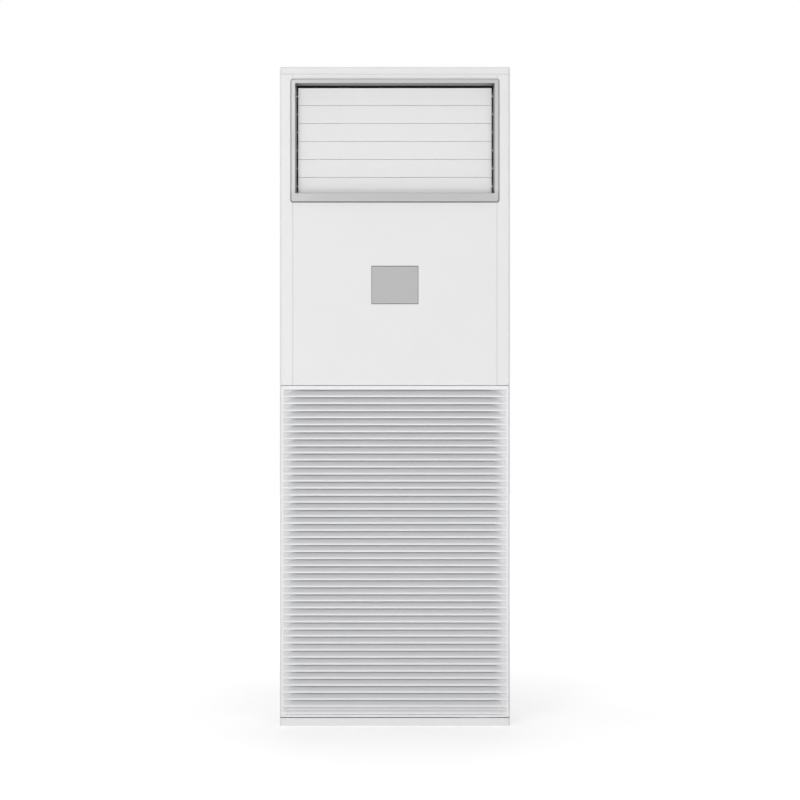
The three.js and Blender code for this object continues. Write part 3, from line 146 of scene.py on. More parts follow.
MIDDLE = (0, 0, 0.95)
SOFTBOXES = (  # name, place, target, size and watts
    ("front_left", (-1.9, -4.4, 2.05), MIDDLE, (2.0, 2.2), 60),
    ("front_right", (1.9, -4.4, 1.9), MIDDLE, (2.0, 2.2), 37),
    ("overhead", (0, -0.6, 3.9), (0, -0.1, 1.0), (2.6, 2.0), 12),
    ("left", (-3.4, 0.6, 1.9), MIDDLE, (2.0, 2.2), 16),
    ("right", (3.4, 0.6, 1.9), MIDDLE, (2.0, 2.2), 14),
    ("low", (0, -3.2, 0.14), MIDDLE, (3.0, 0.5), 16),
    ("rear", (0, 3.6, 2.2), MIDDLE, (2.6, 2.2), 30),
)


# ---- shader helpers -------------------------------------------------------------------------
def new_material(name):
    material = bpy.data.materials.new(name)
    material.use_nodes = True
    tree = material.node_tree
    return material, tree, tree.nodes["Principled BSDF"]


def put(tree, kind, values=None, **settings):
    """A node with its attributes and unlinked socket values set."""
    node = tree.nodes.new(kind)
    for key, value in settings.items():
        setattr(node, key, value)
    for key, value in (values or {}).items():
        node.inputs[key].default_value = value
    return node


def place_of(tree, stretch=(1, 1, 1)):
    """The point on the piece, in metres, optionally stretched along an axis."""
    where = put(tree, "ShaderNodeTexCoord")
    if stretch == (1, 1, 1):
        return where.outputs["Object"]
    scale = put(tree, "ShaderNodeMapping", {"Scale": stretch})
    tree.links.new(where.outputs["Object"], scale.inputs["Vector"])
    return scale.outputs["Vector"]


def noise(tree, where, scale, detail=2.0, rough=0.5):
    values = {"Scale": scale, "Detail": detail, "Roughness": rough}
    node = put(tree, "ShaderNodeTexNoise", values)
    tree.links.new(where, node.inputs["Vector"])
    return node.outputs["Fac"]


def spread(tree, source, low, high, start=0.3, stop=0.7):
    """Maps source from start..stop to low..high."""
    values = {"From Min": start, "From Max": stop, "To Min": low, "To Max": high}
    node = put(tree, "ShaderNodeMapRange", values)
    tree.links.new(source, node.inputs["Value"])
    return node.outputs["Result"]


def blended(tree, first, second, factor, mode="MIX"):
    """Colour mixed from colours or sockets."""
    mix = put(tree, "ShaderNodeMix", data_type="RGBA", blend_type=mode)
    for key, value in (("A", first), ("B", second), ("Factor", factor)):
        if isinstance(value, (tuple, float)):
            mix.inputs[key].default_value = value
        else:
            tree.links.new(value, mix.inputs[key])
    return mix.outputs["Result"]


def tinted(tree, shader, colour, fac, depth, shade=(0.55, 0.55, 0.56)):
    """Base colour that drifts towards shade by up to depth where fac is high."""
    darker = (*[c * s for c, s in zip(colour, shade)], 1)
    result = blended(tree, (*colour, 1), darker, spread(tree, fac, 0.0, depth))
    tree.links.new(result, shader.inputs["Base Color"])
    return result


def bumped(tree, shader, *layers):
    """Stacks (height, strength, depth in metres) layers into the shader's normal."""
    below = None
    for height, strength, depth in layers:
        bump = put(tree, "ShaderNodeBump", {"Strength": strength, "Distance": depth})
        tree.links.new(height, bump.inputs["Height"])
        if below is not None:
            tree.links.new(below, bump.inputs["Normal"])
        below = bump.outputs["Normal"]
    tree.links.new(below, shader.inputs["Normal"])


def math_of(tree, operation, *values):
    """Math on sockets and numbers."""
    node = put(tree, "ShaderNodeMath", operation=operation)
    for socket, value in zip(node.inputs, values):
        if isinstance(value, (int, float)):
            socket.default_value = value
        else:
            tree.links.new(value, socket)
    return node.outputs[0]


def axes_of(tree):
    """x, y and z of the point on the piece, in metres."""
    place = put(tree, "ShaderNodeSeparateXYZ")
    tree.links.new(place_of(tree), place.inputs["Vector"])
    return place.outputs[0], place.outputs[1], place.outputs[2]


def toned(material, tone):
    """The material with its base colour multiplied by tone."""
    tree = material.node_tree
    colour = tree.nodes["Principled BSDF"].inputs["Base Color"]
    before = colour.links[0].from_socket
    tree.links.new(blended(tree, before, tone, 1.0, "MULTIPLY"), colour)
    return material


def cells(tree, scale):
    """Two random levels for each cell of a grain, scale cells to the metre."""
    grain = put(tree, "ShaderNodeTexVoronoi", {"Scale": scale})
    tree.links.new(place_of(tree), grain.inputs["Vector"])
    split = put(tree, "ShaderNodeSeparateColor")
    tree.links.new(grain.outputs["Color"], split.inputs["Color"])
    return split.outputs["Red"], split.outputs["Green"]


def edge_mask(tree, radius):
    """0 on flat stretches, rising to 1 on edges sharper than radius."""
    soft = put(tree, "ShaderNodeBevel", {"Radius": radius}, samples=4)
    true = put(tree, "ShaderNodeNewGeometry")
    dot = put(tree, "ShaderNodeVectorMath", operation="DOT_PRODUCT")
    tree.links.new(soft.outputs["Normal"], dot.inputs[0])
    tree.links.new(true.outputs["Normal"], dot.inputs[1])
    return spread(tree, dot.outputs["Value"], 1.0, 0.0, 0.9, 0.995)


# ---- finishes -------------------------------------------------------------------------------
def moulded(name, colour, roughness, grain=0.10, flow=0.02, drift=0.03):
    """Satin injection-moulded plastic: spark-eroded grain, slight flow waves, a faint drift of tone."""
    material, tree, shader = new_material(name)
    where = place_of(tree)
    slow = noise(tree, where, 5.0, 3.0)
    speck = noise(tree, where, 900.0, 2.0)
    fine = noise(tree, where, 2600.0, 2.0, 0.6)
    waves = noise(tree, where, 14.0, 1.0)
    tinted(tree, shader, colour, slow, drift)
    fine_gloss = spread(tree, speck, roughness - 0.04, roughness + 0.05)
    rough = math_of(tree, "ADD", fine_gloss, spread(tree, slow, -0.03, 0.03))
    tree.links.new(rough, shader.inputs["Roughness"])
    bumped(tree, shader, (waves, flow, 0.004), (fine, grain, 0.0002))
    return material


def grille_painted_shade(name):
    """Grille plastic with painted shade: greyer in the hollows between the blades, and less so on the
    cheeks.
    """
    material = moulded(name, (0.88, 0.882, 0.895), 0.45)
    tree = material.node_tree
    x, y, _ = axes_of(tree)
    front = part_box("intake_grille")[0].y
    # painted shade: greyer from 0.4 mm behind the front, lifted again towards the cheeks
    hollow_shade = spread(tree, y, 1.0, 0.8, front + 0.4 * MM, front + 2.4 * MM)
    cheek = spread(tree, math_of(tree, "ABSOLUTE", x), 0.8, 0.88, 0.262, 0.292)
    return toned(material, math_of(tree, "MAXIMUM", hollow_shade, cheek))


def powder_coated(name, colour):
    """White powder coat on sheet steel: orange peel, and a slightly duller tone on the edges."""
    material, tree, shader = new_material(name)
    where = place_of(tree)
    slow = noise(tree, where, 4.0, 3.0)
    peel = noise(tree, where, 420.0, 2.0)
    plain = tinted(tree, shader, colour, slow, 0.04)
    worn = (*[c * 0.86 for c in colour], 1)
    edged = blended(tree, plain, worn, edge_mask(tree, 1.2 * MM))
    tree.links.new(edged, shader.inputs["Base Color"])
    tree.links.new(spread(tree, peel, 0.36, 0.5), shader.inputs["Roughness"])
    bumped(tree, shader, (slow, 0.05, 0.004), (peel, 0.12, 0.0004))
    return material


def galvanised(name):
    """Zinc-coated sheet: flat crystals of differing tone and gloss, faint rolling lines."""
    material, tree, shader = new_material(name)
    crystal, _ = cells(tree, 330.0)
    zinc = blended(tree, (0.40, 0.412, 0.425, 1), (0.50, 0.512, 0.525, 1), crystal)
    tree.links.new(zinc, shader.inputs["Base Color"])
    shader.inputs["Metallic"].default_value = 0.85
    tree.links.new(spread(tree, crystal, 0.38, 0.5, 0, 1), shader.inputs["Roughness"])
    lines = noise(tree, place_of(tree, (6, 900, 900)), 1.0, 2.0)
    bumped(tree, shader, (lines, 0.06, 0.0002), (crystal, 0.05, 0.0002))
    return material


def bare_steel(name, colour=(0.42, 0.43, 0.45)):
    """Plated steel with drawing lines and darker spots."""
    material, tree, shader = new_material(name)
    where = place_of(tree)
    stains = noise(tree, where, 60.0, 4.0)
    lines = noise(tree, place_of(tree, (1500, 40, 1500)), 1.0, 3.0)
    tinted(tree, shader, colour, stains, 0.35)
    shader.inputs["Metallic"].default_value = 0.9
    tree.links.new(spread(tree, lines, 0.28, 0.46), shader.inputs["Roughness"])
    bumped(tree, shader, (lines, 0.1, 0.0002))
    return material


def lacquered_silver(name):
    """Silver-grey metallic lacquer on plastic: fine flake and a soft sheen."""
    material, tree, shader = new_material(name)
    flake, glint = cells(tree, 2400.0)
    silver = blended(tree, (0.41, 0.41, 0.412, 1), (0.47, 0.47, 0.474, 1), flake)
    tree.links.new(silver, shader.inputs["Base Color"])
    shader.inputs["Metallic"].default_value = 0.4
    shader.inputs["Coat Weight"].default_value = 0.15
    shader.inputs["Coat Roughness"].default_value = 0.25
    slow = noise(tree, place_of(tree), 9.0, 2.0)
    tree.links.new(spread(tree, slow, 0.42, 0.5), shader.inputs["Roughness"])
    bumped(tree, shader, (slow, 0.02, 0.003), (glint, 0.04, 0.0001))
    return material


FRAME_BOW = 4.0 * MM  # the ends of the outlet frame lie back by this much
FRAME_BOW_POWER = 3.4


def silver_with_painted_shade(name):
    """Silver lacquer of the outlet frame, with painted shade where the bowed ring rounds off and in its
    mouth.

    Its lower bar is darker, and the painted shade on its edges is deepest there.
    """
    material = lacquered_silver(name)
    tree = material.node_tree
    low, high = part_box("outlet_frame")
    x, y, z = axes_of(tree)
    way = math_of(tree, "MULTIPLY_ADD", math_of(tree, "ABSOLUTE", x), 2 / high.x, -1.0)
    end = math_of(tree, "POWER", math_of(tree, "MAXIMUM", way, 0.0), FRAME_BOW_POWER)
    front = math_of(tree, "MULTIPLY_ADD", end, FRAME_BOW, low.y)
    depth = math_of(tree, "SUBTRACT", y, front)
    # painted shade: darker from 0.3 to 1.1 mm behind the bowed front, on the rounds and in the mouth,
    # most along the lower bar
    on_edge = spread(tree, depth, 0.0, 1.0, 0.3 * MM, 1.1 * MM)
    edge_shade_strength = spread(tree, z, 0.58, 0.36, low.z + 24 * MM, low.z + 40 * MM)
    edge = math_of(tree, "SUBTRACT", 1.0, math_of(tree, "MULTIPLY", on_edge, edge_shade_strength))
    # the lower bar is darker
    bar = spread(tree, z, 0.885, 1.0, low.z + 20 * MM, low.z + 34 * MM)
    return toned(material, math_of(tree, "MULTIPLY", edge, bar))


WINDOW_EDGE_SHADE = (1.1 * MM, 1.7 * MM)  # painted shade of the dark joint round the window, beside and above its face


def window_edge_shade(tree):
    """Tone of the window: painted shade darkens its border."""
    low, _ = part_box("display_window")
    face = [v.co for v in NODES["display_window"].data.vertices if v.co.y < low.y + MM]
    x, _, z = axes_of(tree)
    over = []
    for k, where, shade_width in ((0, x, WINDOW_EDGE_SHADE[0]), (2, z, WINDOW_EDGE_SHADE[1])):
        first, last = min(p[k] for p in face), max(p[k] for p in face)
        off = math_of(tree, "ABSOLUTE", math_of(tree, "SUBTRACT", where, (first + last) / 2))
        over.append(math_of(tree, "SUBTRACT", off, (last - first) / 2 - shade_width))
    # painted shade: the window's face darkens towards its border
    return spread(tree, math_of(tree, "MAXIMUM", *over), 1.0, 0.38, 0.0, 0.05 * MM)


def smoked_window(name):
    """Light grey translucent window: smooth, with painted shade on its border, a milky drift and
    hairline scuffs.
    """
    material, tree, shader = new_material(name)
    where = place_of(tree)
    slow = noise(tree, where, 8.0, 2.0)
    scuffs = noise(tree, place_of(tree, (300, 1, 2500)), 1.0, 3.0)
    tinted(tree, shader, (0.49, 0.49, 0.495), slow, 0.04)
    tree.links.new(spread(tree, scuffs, 0.22, 0.3), shader.inputs["Roughness"])
    shader.inputs["Coat Weight"].default_value = 0.3
    shader.inputs["Coat Roughness"].default_value = 0.08
    bumped(tree, shader, (scuffs, 0.02, 0.0001))
    return toned(material, window_edge_shade(tree))


def circuit_green(name):
    """Green solder mask with lighter conductor lanes under it."""
    material, tree, shader = new_material(name)
    lanes = put(tree, "ShaderNodeTexBrick", {
        "Color1": (0.02, 0.13, 0.055, 1),
        "Color2": (0.03, 0.2, 0.08, 1),
        "Mortar": (0.05, 0.27, 0.12, 1),
        "Scale": 1.0,
        "Mortar Size": 0.0005,
        "Brick Width": 0.011,
        "Row Height": 0.0035,
    })
    swap = put(tree, "ShaderNodeMapping", {"Rotation": (math.radians(90), 0, 0)})
    tree.links.new(place_of(tree), swap.inputs["Vector"])
    tree.links.new(swap.outputs["Vector"], lanes.inputs["Vector"])
    tree.links.new(lanes.outputs["Color"], shader.inputs["Base Color"])
    tree.links.new(spread(tree, lanes.outputs["Fac"], 0.25, 0.4, 0, 1), shader.inputs["Roughness"])
    bumped(tree, shader, (lanes.outputs["Fac"], 0.2, 0.0001))
    return material


def beaded_foam(name):
    """Expanded foam: pressed beads with tiny pores between them, and painted shade darkening the seams
    between the beads.
    """
    material, tree, shader = new_material(name)
    where = place_of(tree)
    beads = put(tree, "ShaderNodeTexVoronoi", {"Scale": 280.0}, feature="DISTANCE_TO_EDGE")
    tree.links.new(where, beads.inputs["Vector"])
    # painted shade: darker near the edges between beads
    fac = spread(tree, beads.outputs["Distance"], 1.0, 0.0, 0.0, 0.12)
    tinted(tree, shader, (0.86, 0.86, 0.84), fac, 0.4)
    shader.inputs["Roughness"].default_value = 0.85
    bumped(tree, shader, (spread(tree, beads.outputs["Distance"], 0, 1, 0, 0.2), 0.5, 0.0006))
    return material


def finned_aluminium(name):
    """Coated aluminium fins: tone changes from fin to fin."""
    material, tree, shader = new_material(name)
    where = place_of(tree)
    sheets = noise(tree, place_of(tree, (600, 2, 2)), 1.0, 2.0)
    stains = noise(tree, where, 25.0, 4.0)
    tinted(tree, shader, (0.62, 0.66, 0.70), sheets, 0.4)
    shader.inputs["Metallic"].default_value = 0.8
    tree.links.new(spread(tree, stains, 0.34, 0.5), shader.inputs["Roughness"])
    bumped(tree, shader, (stains, 0.1, 0.0005))
    return material


def drawn_copper(name):
    """Copper tube with a thin brown tarnish and drawing lines along it."""
    material, tree, shader = new_material(name)
    where = place_of(tree)
    stains = noise(tree, where, 45.0, 5.0, 0.6)
    tarnish = spread(tree, stains, 0, 0.8, 0.4, 0.75)
    copper = blended(tree, (0.72, 0.36, 0.22, 1), (0.38, 0.17, 0.10, 1), tarnish)
    tree.links.new(copper, shader.inputs["Base Color"])
    shader.inputs["Metallic"].default_value = 1.0
    tree.links.new(spread(tree, stains, 0.22, 0.5), shader.inputs["Roughness"])
    bumped(tree, shader, (stains, 0.08, 0.0004))
    return material


def woven_net(name):
    """Dark plastic monofilament."""
    material, tree, shader = new_material(name)
    where = place_of(tree)
    threads = noise(tree, where, 1400.0, 2.0)
    tinted(tree, shader, (0.16, 0.17, 0.18), threads, 0.5)
    tree.links.new(spread(tree, threads, 0.5, 0.75), shader.inputs["Roughness"])
    bumped(tree, shader, (threads, 0.4, 0.0002))
    return material


FINISHES = {
    "white_steel": lambda slot: powder_coated(slot, (0.85, 0.85, 0.852)),
    "galvanised": galvanised,
    "white_plastic": lambda slot: moulded(slot, (0.825, 0.825, 0.828), 0.42),
    "grille_plastic": grille_painted_shade,
    "steel": bare_steel,
    "black_plastic": lambda slot: moulded(slot, (0.028, 0.028, 0.03), 0.5, grain=0.3),
    "display_grey": smoked_window,
    "circuit_board": circuit_green,
    "silver_trim": silver_with_painted_shade,
    "grey_plastic": lambda slot: moulded(slot, (0.11, 0.115, 0.12), 0.5, grain=0.3, drift=0.2),
    "foam": beaded_foam,
    "aluminium_fin": finned_aluminium,
    "copper": drawn_copper,
    "filter_net": woven_net,
}


SLOT_OF = {row["node"]: row["material_slot"] for row in frame["record"]["subparts"]}
finishes = {row["slot"]: FINISHES[row["slot"]](row["slot"]) for row in frame["record"]["materials"]}


def paint_nodes():
    """Every CAD node gets the finish of its record slot."""
    for name, node in NODES.items():
        for holder in node.material_slots:
            holder.link = "OBJECT"
            holder.material = finishes[SLOT_OF[name]]


# ---- pieces ---------------------------------------------------------------------------------
FACET_ANGLE = 35.0  # edges flatter than this belong to a curved face
SHADE_ANGLE = 50.0


def add_piece(name, mesh, slot, body, stands_for=()):
    """A finished mesh becomes a piece on a body, with its slot's finish and smooth shading."""
    mesh.shade_smooth()
    mesh.set_sharp_from_angle(angle=math.radians(SHADE_ANGLE))
    mesh.materials.clear()
    mesh.materials.append(finishes[slot])
    piece = bpy.data.objects.new(name, mesh)
    bpy.context.scene.collection.objects.link(piece)
    normals = piece.modifiers.new("normals", "WEIGHTED_NORMAL")
    normals.keep_sharp = True
    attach(piece, body)
    if stands_for:
        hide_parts(*stands_for)


def welded_copy(name):
    """A CAD node's mesh as bmesh, with the corners of its facets joined."""
    work = bmesh.new()
    work.from_mesh(NODES[name].data)
    bmesh.ops.remove_doubles(work, verts=work.verts, dist=0.002 * MM)
    return work


def round_edges(work, width, segments, chosen=None):
    """Rounds the sharp edges, or those of them that chosen picks."""
    limit = math.radians(FACET_ANGLE)
    edges = [e for e in work.edges if e.is_manifold and e.calc_face_angle(0) > limit]
    if chosen:
        edges = [e for e in edges if chosen(e)]
    bmesh.ops.bevel(
        work, geom=edges, offset=width, offset_type="OFFSET", segments=segments,
        profile=0.5, affect="EDGES", clamp_overlap=False,
    )


def to_mesh(work, name):
    mesh = bpy.data.meshes.new(name)
    work.to_mesh(mesh)
    work.free()
    return mesh


# Edge radius in mm and number of facets round it, by finish.
EDGES = {
    "white_steel": (0.4, 3),
    "galvanised": (0.25, 2),
    "white_plastic": (0.35, 3),
    "steel": (0.4, 2),
    "black_plastic": (0.5, 3),
    "circuit_board": (0.15, 1),
    "grey_plastic": (0.3, 2),
    "foam": (3.0, 3),
    "copper": (0.4, 2),
}


def stand_in(name, work):
    """The mesh in work takes the place of a CAD node, on its body and with its finish."""
    mesh = to_mesh(work, name + "_shape")
    add_piece(name + "_shape", mesh, SLOT_OF[name], NODES[name]["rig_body"], [name])


def soften(name):
    """A node's own shape with rounded edges."""
    width, segments = EDGES[SLOT_OF[name]]
    work = welded_copy(name)
    round_edges(work, width * MM, segments)
    stand_in(name, work)


LOUVRES = [f"louvre_{i}" for i in range(1, 7)]
LOUVRE_LIP = 0.55  # mm
LOUVRE_STRETCH = 0.15  # mm, on either side
TOP_TRIM = 1.1  # mm off the upper edge of the first louvre


def louvre(name):
    """Blade with rounded long edges; the crank and the pivots keep their shape."""
    low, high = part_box(name)
    middle = (low.z + high.z) / 2
    tall = 0.4 * (high.z - low.z)
    work = welded_copy(name)
    for vert in work.verts:
        if vert.co.z < middle - tall:
            vert.co.z -= LOUVRE_STRETCH * MM
        elif vert.co.z > middle + tall:
            vert.co.z += (-TOP_TRIM if name == LOUVRES[0] else LOUVRE_STRETCH) * MM
    long_edge = 0.8 * (high.x - low.x)
    round_edges(work, LOUVRE_LIP * MM, 3, lambda e: e.calc_length() > long_edge)
    stand_in(name, work)


# Outlet frame, mm: margins round the mouth at the front, and how far its parts lie back.
FRAME_MARGINS = {"side": 12.9, "top": 12.6, "bottom": 25.1}
FRAME_LOWERED = 1.0  # the ring sits this much lower than its solid
FRAME_CORNER = 6.0
FRAME_SEAT = 8.7
FRAME_SLANT = 0.9  # the outer wall leans inwards
FRAME_ROUND = (4.5, 2.4)  # outer front edge: inwards, backwards
FRAME_LIP = 1.0
SILL_LIP = 2.4  # the lip along the lower edge of the mouth
MOUTH_DRAFT = {"side": 2.9, "top": 3.1, "bottom": 4.5}  # the mouth narrows towards the louvres
NECK_T = 2.6
ARC_STEPS = 5


def rounded_loop(x, z0, z1, corner, side_steps=20):
    """Points (x, z) round a rectangle with rounded corners, anticlockwise from its lower right."""
    loop = []
    centres = [(x - corner, z0 + corner, -90), (x - corner, z1 - corner, 0)]
    centres += [(corner - x, z1 - corner, 90), (corner - x, z0 + corner, 180)]
    for cx, cz, start in centres:
        for i in range(ARC_STEPS + 1):
            turn = math.radians(start + 90 * i / ARC_STEPS)
            loop.append((cx + corner * math.cos(turn), cz + corner * math.sin(turn)))
        if start in (0, 180):
            level = loop[-1][1]
            for i in range(1, side_steps):
                loop.append((cx * (1 - 2 * i / side_steps), level))
    return loop


def loft(work, loops, closed=False):
    """Adds a solid through equal closed loops of points.

    The first and last loop are capped, or joined to each other where closed is true.
    """
    rings = [[work.verts.new(point) for point in loop] for loop in loops]
    faces = [] if closed else [work.faces.new(rings[0]), work.faces.new(rings[-1])]
    followers = rings[1:] + rings[:1] if closed else rings[1:]
    for ring, after in zip(rings, followers):
        for a, b, c, d in zip(ring, ring[1:] + ring[:1], after[1:] + after[:1], after):
            faces.append(work.faces.new((a, b, c, d)))
    bmesh.ops.recalc_face_normals(work, faces=faces)


def outlet_frame():
    """Bowed ring with a broad round on its outer edge, and the neck behind its mouth."""
    low, high = [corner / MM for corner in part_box("outlet_frame")]
    x, z0, z1 = high.x, low.z - FRAME_LOWERED, high.z - FRAME_LOWERED
    mouth_x = x - FRAME_MARGINS["side"]
    mouth_z0 = z0 + FRAME_MARGINS["bottom"]
    mouth_z1 = z1 - FRAME_MARGINS["top"]
    loops = []

    def add(loop, y, bowed):
        ends = [max(0.0, 2 * abs(px) / x - 1) ** FRAME_BOW_POWER for px, _ in loop]
        depths = [y * MM + FRAME_BOW * end * bowed for end in ends]
        loops.append([(px * MM, d, pz * MM) for (px, pz), d in zip(loop, depths)])

    def outer(inset):
        return rounded_loop(x - inset, z0 + inset, z1 - inset, FRAME_CORNER - inset / 2)

    def mouth(way):
        side = FRAME_LIP * way
        return rounded_loop(mouth_x + side, mouth_z0 - SILL_LIP * way, mouth_z1 + side, 0.6 + side)

    quarter = [math.radians(90 * i / ARC_STEPS) for i in range(ARC_STEPS + 1)]
    inward, backward = FRAME_ROUND
    add(outer(0), low.y + FRAME_SEAT, 0)
    for turn in quarter:
        inset = FRAME_SLANT + inward * (1 - math.cos(turn))
        add(outer(inset), low.y + backward * (1 - math.sin(turn)), 1)
    for turn in quarter:
        add(mouth(1 - math.sin(turn)), low.y + FRAME_LIP * (1 - math.cos(turn)), 1)
    sill = mouth_z0 - MOUTH_DRAFT["bottom"]
    rear = rounded_loop(mouth_x - MOUTH_DRAFT["side"], sill, mouth_z1 - MOUTH_DRAFT["top"], 0.6)
    add(rear, high.y, 0)
    neck = rounded_loop(mouth_x + NECK_T, sill - NECK_T, mouth_z1 + NECK_T, 1.0)
    add(neck, high.y, 0)
    add(neck, low.y + FRAME_SEAT, 0)
    work = bmesh.new()
    loft(work, loops, closed=True)
    stand_in("outlet_frame", work)


def prism(work, outline, axis, low, high):
    """Adds the closed prism over an outline of (u, v) points, low and high along the axis, in metres.

    The other two axes take u and v in the order x, y, z. low and high may be functions of (u, v).
    """
    order = [k for k in range(3) if k != axis]
    rings = []
    for end in (low, high):
        ring = []
        for u, v in outline:
            place = [0.0, 0.0, 0.0]
            place[order[0]], place[order[1]] = u, v
            place[axis] = end(u, v) if callable(end) else end
            ring.append(place)
        rings.append(ring)
    loft(work, rings)


def block(work, x0, x1, y0, y1, z0, z1):
    prism(work, [(x0, y0), (x1, y0), (x1, y1), (x0, y1)], 2, z0, z1)


# Intake grille. Lengths in metres, depths from its front.
BLADES = 46
BLADE_PITCH = 0.8602 / BLADES
BLADE_LAP = 0.8 * MM
BLADE_DEPTH = 13.5 * MM
NOSE_H = 3.0 * MM
NOSE_ROUND = 0.5 * MM
GRILLE_HEAD = 10.3 * MM
BLADE_DROP = 1.0 * MM  # gap between the head and the first blade
GRILLE_SKIN = 2.5 * MM
CORNER_RADIUS = 8.5 * MM
CHEEK_SPAN = 47.1 * MM  # from the corner to the inner end of the cheek
CHEEK_FACE = 0.5 * MM  # depth at which the cheek leaves the corner
CHEEK_SKIN = 2.2 * MM
CHEEK_BOW = 2.0  # 1 would be a straight cheek
CHEEK_STEPS = 8
FOOT_LIP = 4.5 * MM
FOOT_NOSE = 8.0 * MM
FOOT_GROOVE = 3.2 * MM
FOOT_RAMP = 48 * MM
FOOT_SHELF = 16 * MM  # depth of the foot's underside
RAMP_BEND = 0.65  # share of the ramp's height at which it steepens
RAMP_T = 2 * MM


def arc(cx, cy, radius, start, stop, steps):
    """Points of an arc, angles in degrees."""
    turns = [math.radians(start + (stop - start) * i / steps) for i in range(steps + 1)]
    return [(cx + radius * math.cos(t), cy + radius * math.sin(t)) for t in turns]


def grille_cheek(work, side, half, front, rear, z0, z1):
    """Corner and bowed cheek of one side."""
    shoulder = half - CORNER_RADIUS
    centre = front + CORNER_RADIUS
    skin = CHEEK_SKIN
    depth = BLADE_DEPTH - CHEEK_FACE
    bow = []
    for i in range(CHEEK_STEPS + 1):
        way = i / CHEEK_STEPS
        inward = CHEEK_SPAN * (1 - (1 - way) ** (1 / CHEEK_BOW))
        bow.append((shoulder - inward, front + CHEEK_FACE + depth * way))
    outline = [(half, rear), *arc(shoulder, centre, CORNER_RADIUS, 0, -90, 8), *bow]
    outline += [(x, y + skin) for x, y in reversed(bow)]
    outline += [*arc(shoulder, centre, CORNER_RADIUS - skin, -90, 0, 8)[1:], (half - skin, rear)]
    prism(work, [(side * x, y) for x, y in outline], 2, z0, z1)


def grille_blade(work, top, front, half):
    """Blade with a rounded nose, cut off along the middle of the cheeks' skin."""
    height = BLADE_PITCH + BLADE_LAP
    foot = top - height
    shoulder = half - CORNER_RADIUS
    r = NOSE_ROUND
    steps = [i / CHEEK_STEPS for i in range(1, CHEEK_STEPS)]
    run = BLADE_DEPTH - NOSE_H
    upper = [(BLADE_DEPTH * s, foot + NOSE_H + (height - NOSE_H) * s) for s in steps]
    lower = [(NOSE_H + run * s, foot + (height - NOSE_H) * s) for s in reversed(steps)]
    outline = [(NOSE_H, foot), *arc(r, foot + r, r, -90, -180, 3)]
    outline += arc(r, foot + NOSE_H - r, r, 180, 125, 3)
    outline += [*upper, (BLADE_DEPTH, top), (BLADE_DEPTH, top - NOSE_H), *lower]

    def reach(y, _):
        way = (y - front - CHEEK_FACE - CHEEK_SKIN / 2) / (BLADE_DEPTH - CHEEK_FACE)
        return shoulder - CHEEK_SPAN * (1 - (1 - max(way, 0.0)) ** (1 / CHEEK_BOW))

    points = [(front + d, z) for d, z in outline]
    prism(work, points, 0, lambda y, z: -reach(y, z), reach)


def grille_foot(work, half, front, z0):
    """Lip, groove and a ramp that falls back behind the lowest blades."""
    groove = z0 + FOOT_NOSE
    bend, end = groove + RAMP_BEND * FOOT_RAMP, groove + FOOT_RAMP
    near = BLADE_DEPTH - 0.5 * MM
    r = NOSE_ROUND
    outline = [(FOOT_SHELF, z0), *arc(r, z0 + r, r, -90, -180, 3)]
    outline += arc(r, z0 + FOOT_LIP - r, r, 180, 110, 3)
    outline += [(FOOT_GROOVE, groove - MM), (FOOT_GROOVE, groove), (BLADE_DEPTH - 3 * MM, bend)]
    outline += [(near, end), (near + RAMP_T, end), (near, bend)]
    outline += [(FOOT_GROOVE + GRILLE_SKIN, groove)]
    outline += [(GRILLE_SKIN, z0 + GRILLE_SKIN), (FOOT_SHELF, z0 + GRILLE_SKIN)]
    reach = half - CORNER_RADIUS
    prism(work, [(front + d, z) for d, z in outline], 0, -reach, reach)


CATCH_X = 200 * MM  # slots for the spring catches in the upper flange
CATCH_SLOT = 12.3 * MM
CATCH_DEPTH = 14.7 * MM
SEAL_RISE = 1.15 * MM  # ridge that closes the joint under the casing


def grille_head(work, half, front, rear, z1):
    """Upper border with its flange, which the catches pass through."""
    z = z1 - GRILLE_HEAD
    r = NOSE_ROUND
    skin = GRILLE_SKIN
    split = front + CATCH_DEPTH
    reach = half - CORNER_RADIUS
    outline = [(split, z1), (split, z1 - skin), (front + skin, z1 - skin), (front + skin, z)]
    outline += [*arc(front + r, z + r, r, -90, -180, 3), *arc(front + r, z1 - r, r, 180, 90, 3)]
    prism(work, outline, 0, -reach, reach)
    inner = CATCH_X - CATCH_SLOT
    outer = CATCH_X + CATCH_SLOT
    for x0, x1 in ((-reach, -outer), (-inner, inner), (outer, reach)):
        block(work, x0, x1, split, rear, z1 - skin, z1)
    block(work, -reach, reach, front + 10 * MM, front + 12 * MM, z1 - MM, z1 + SEAL_RISE)


RIB_X = 85 * MM
RIB_T = 2.4 * MM
RIB_DEPTH = 9 * MM
LUG_X = 288.25 * MM  # middle of the lug that carries the hinge
LUG_ROOM = 3 * MM  # from there to the bearing block
HINGE_DEPTH = 7 * MM
HINGE_UP = 8.5 * MM
HINGE_WALL = 2.25 * MM
HINGE_Z = (1 * MM, 15 * MM)  # foot and top of the hinge's walls above the grille's lower edge
HINGE_Y = (1.2 * MM, 13 * MM)
BEARING_L = 12.2 * MM
BEARING_REACH = 5.9 * MM  # half side of the bearing block
BEARING_LID = (4.5 * MM, 13.5 * MM)  # front and underside of the plate over it
BORE_R = 2.5 * MM
SHIELD_TAPER = (14 * MM, 3.4 * MM, 4.7 * MM)  # its length, and its front and rear face at the end


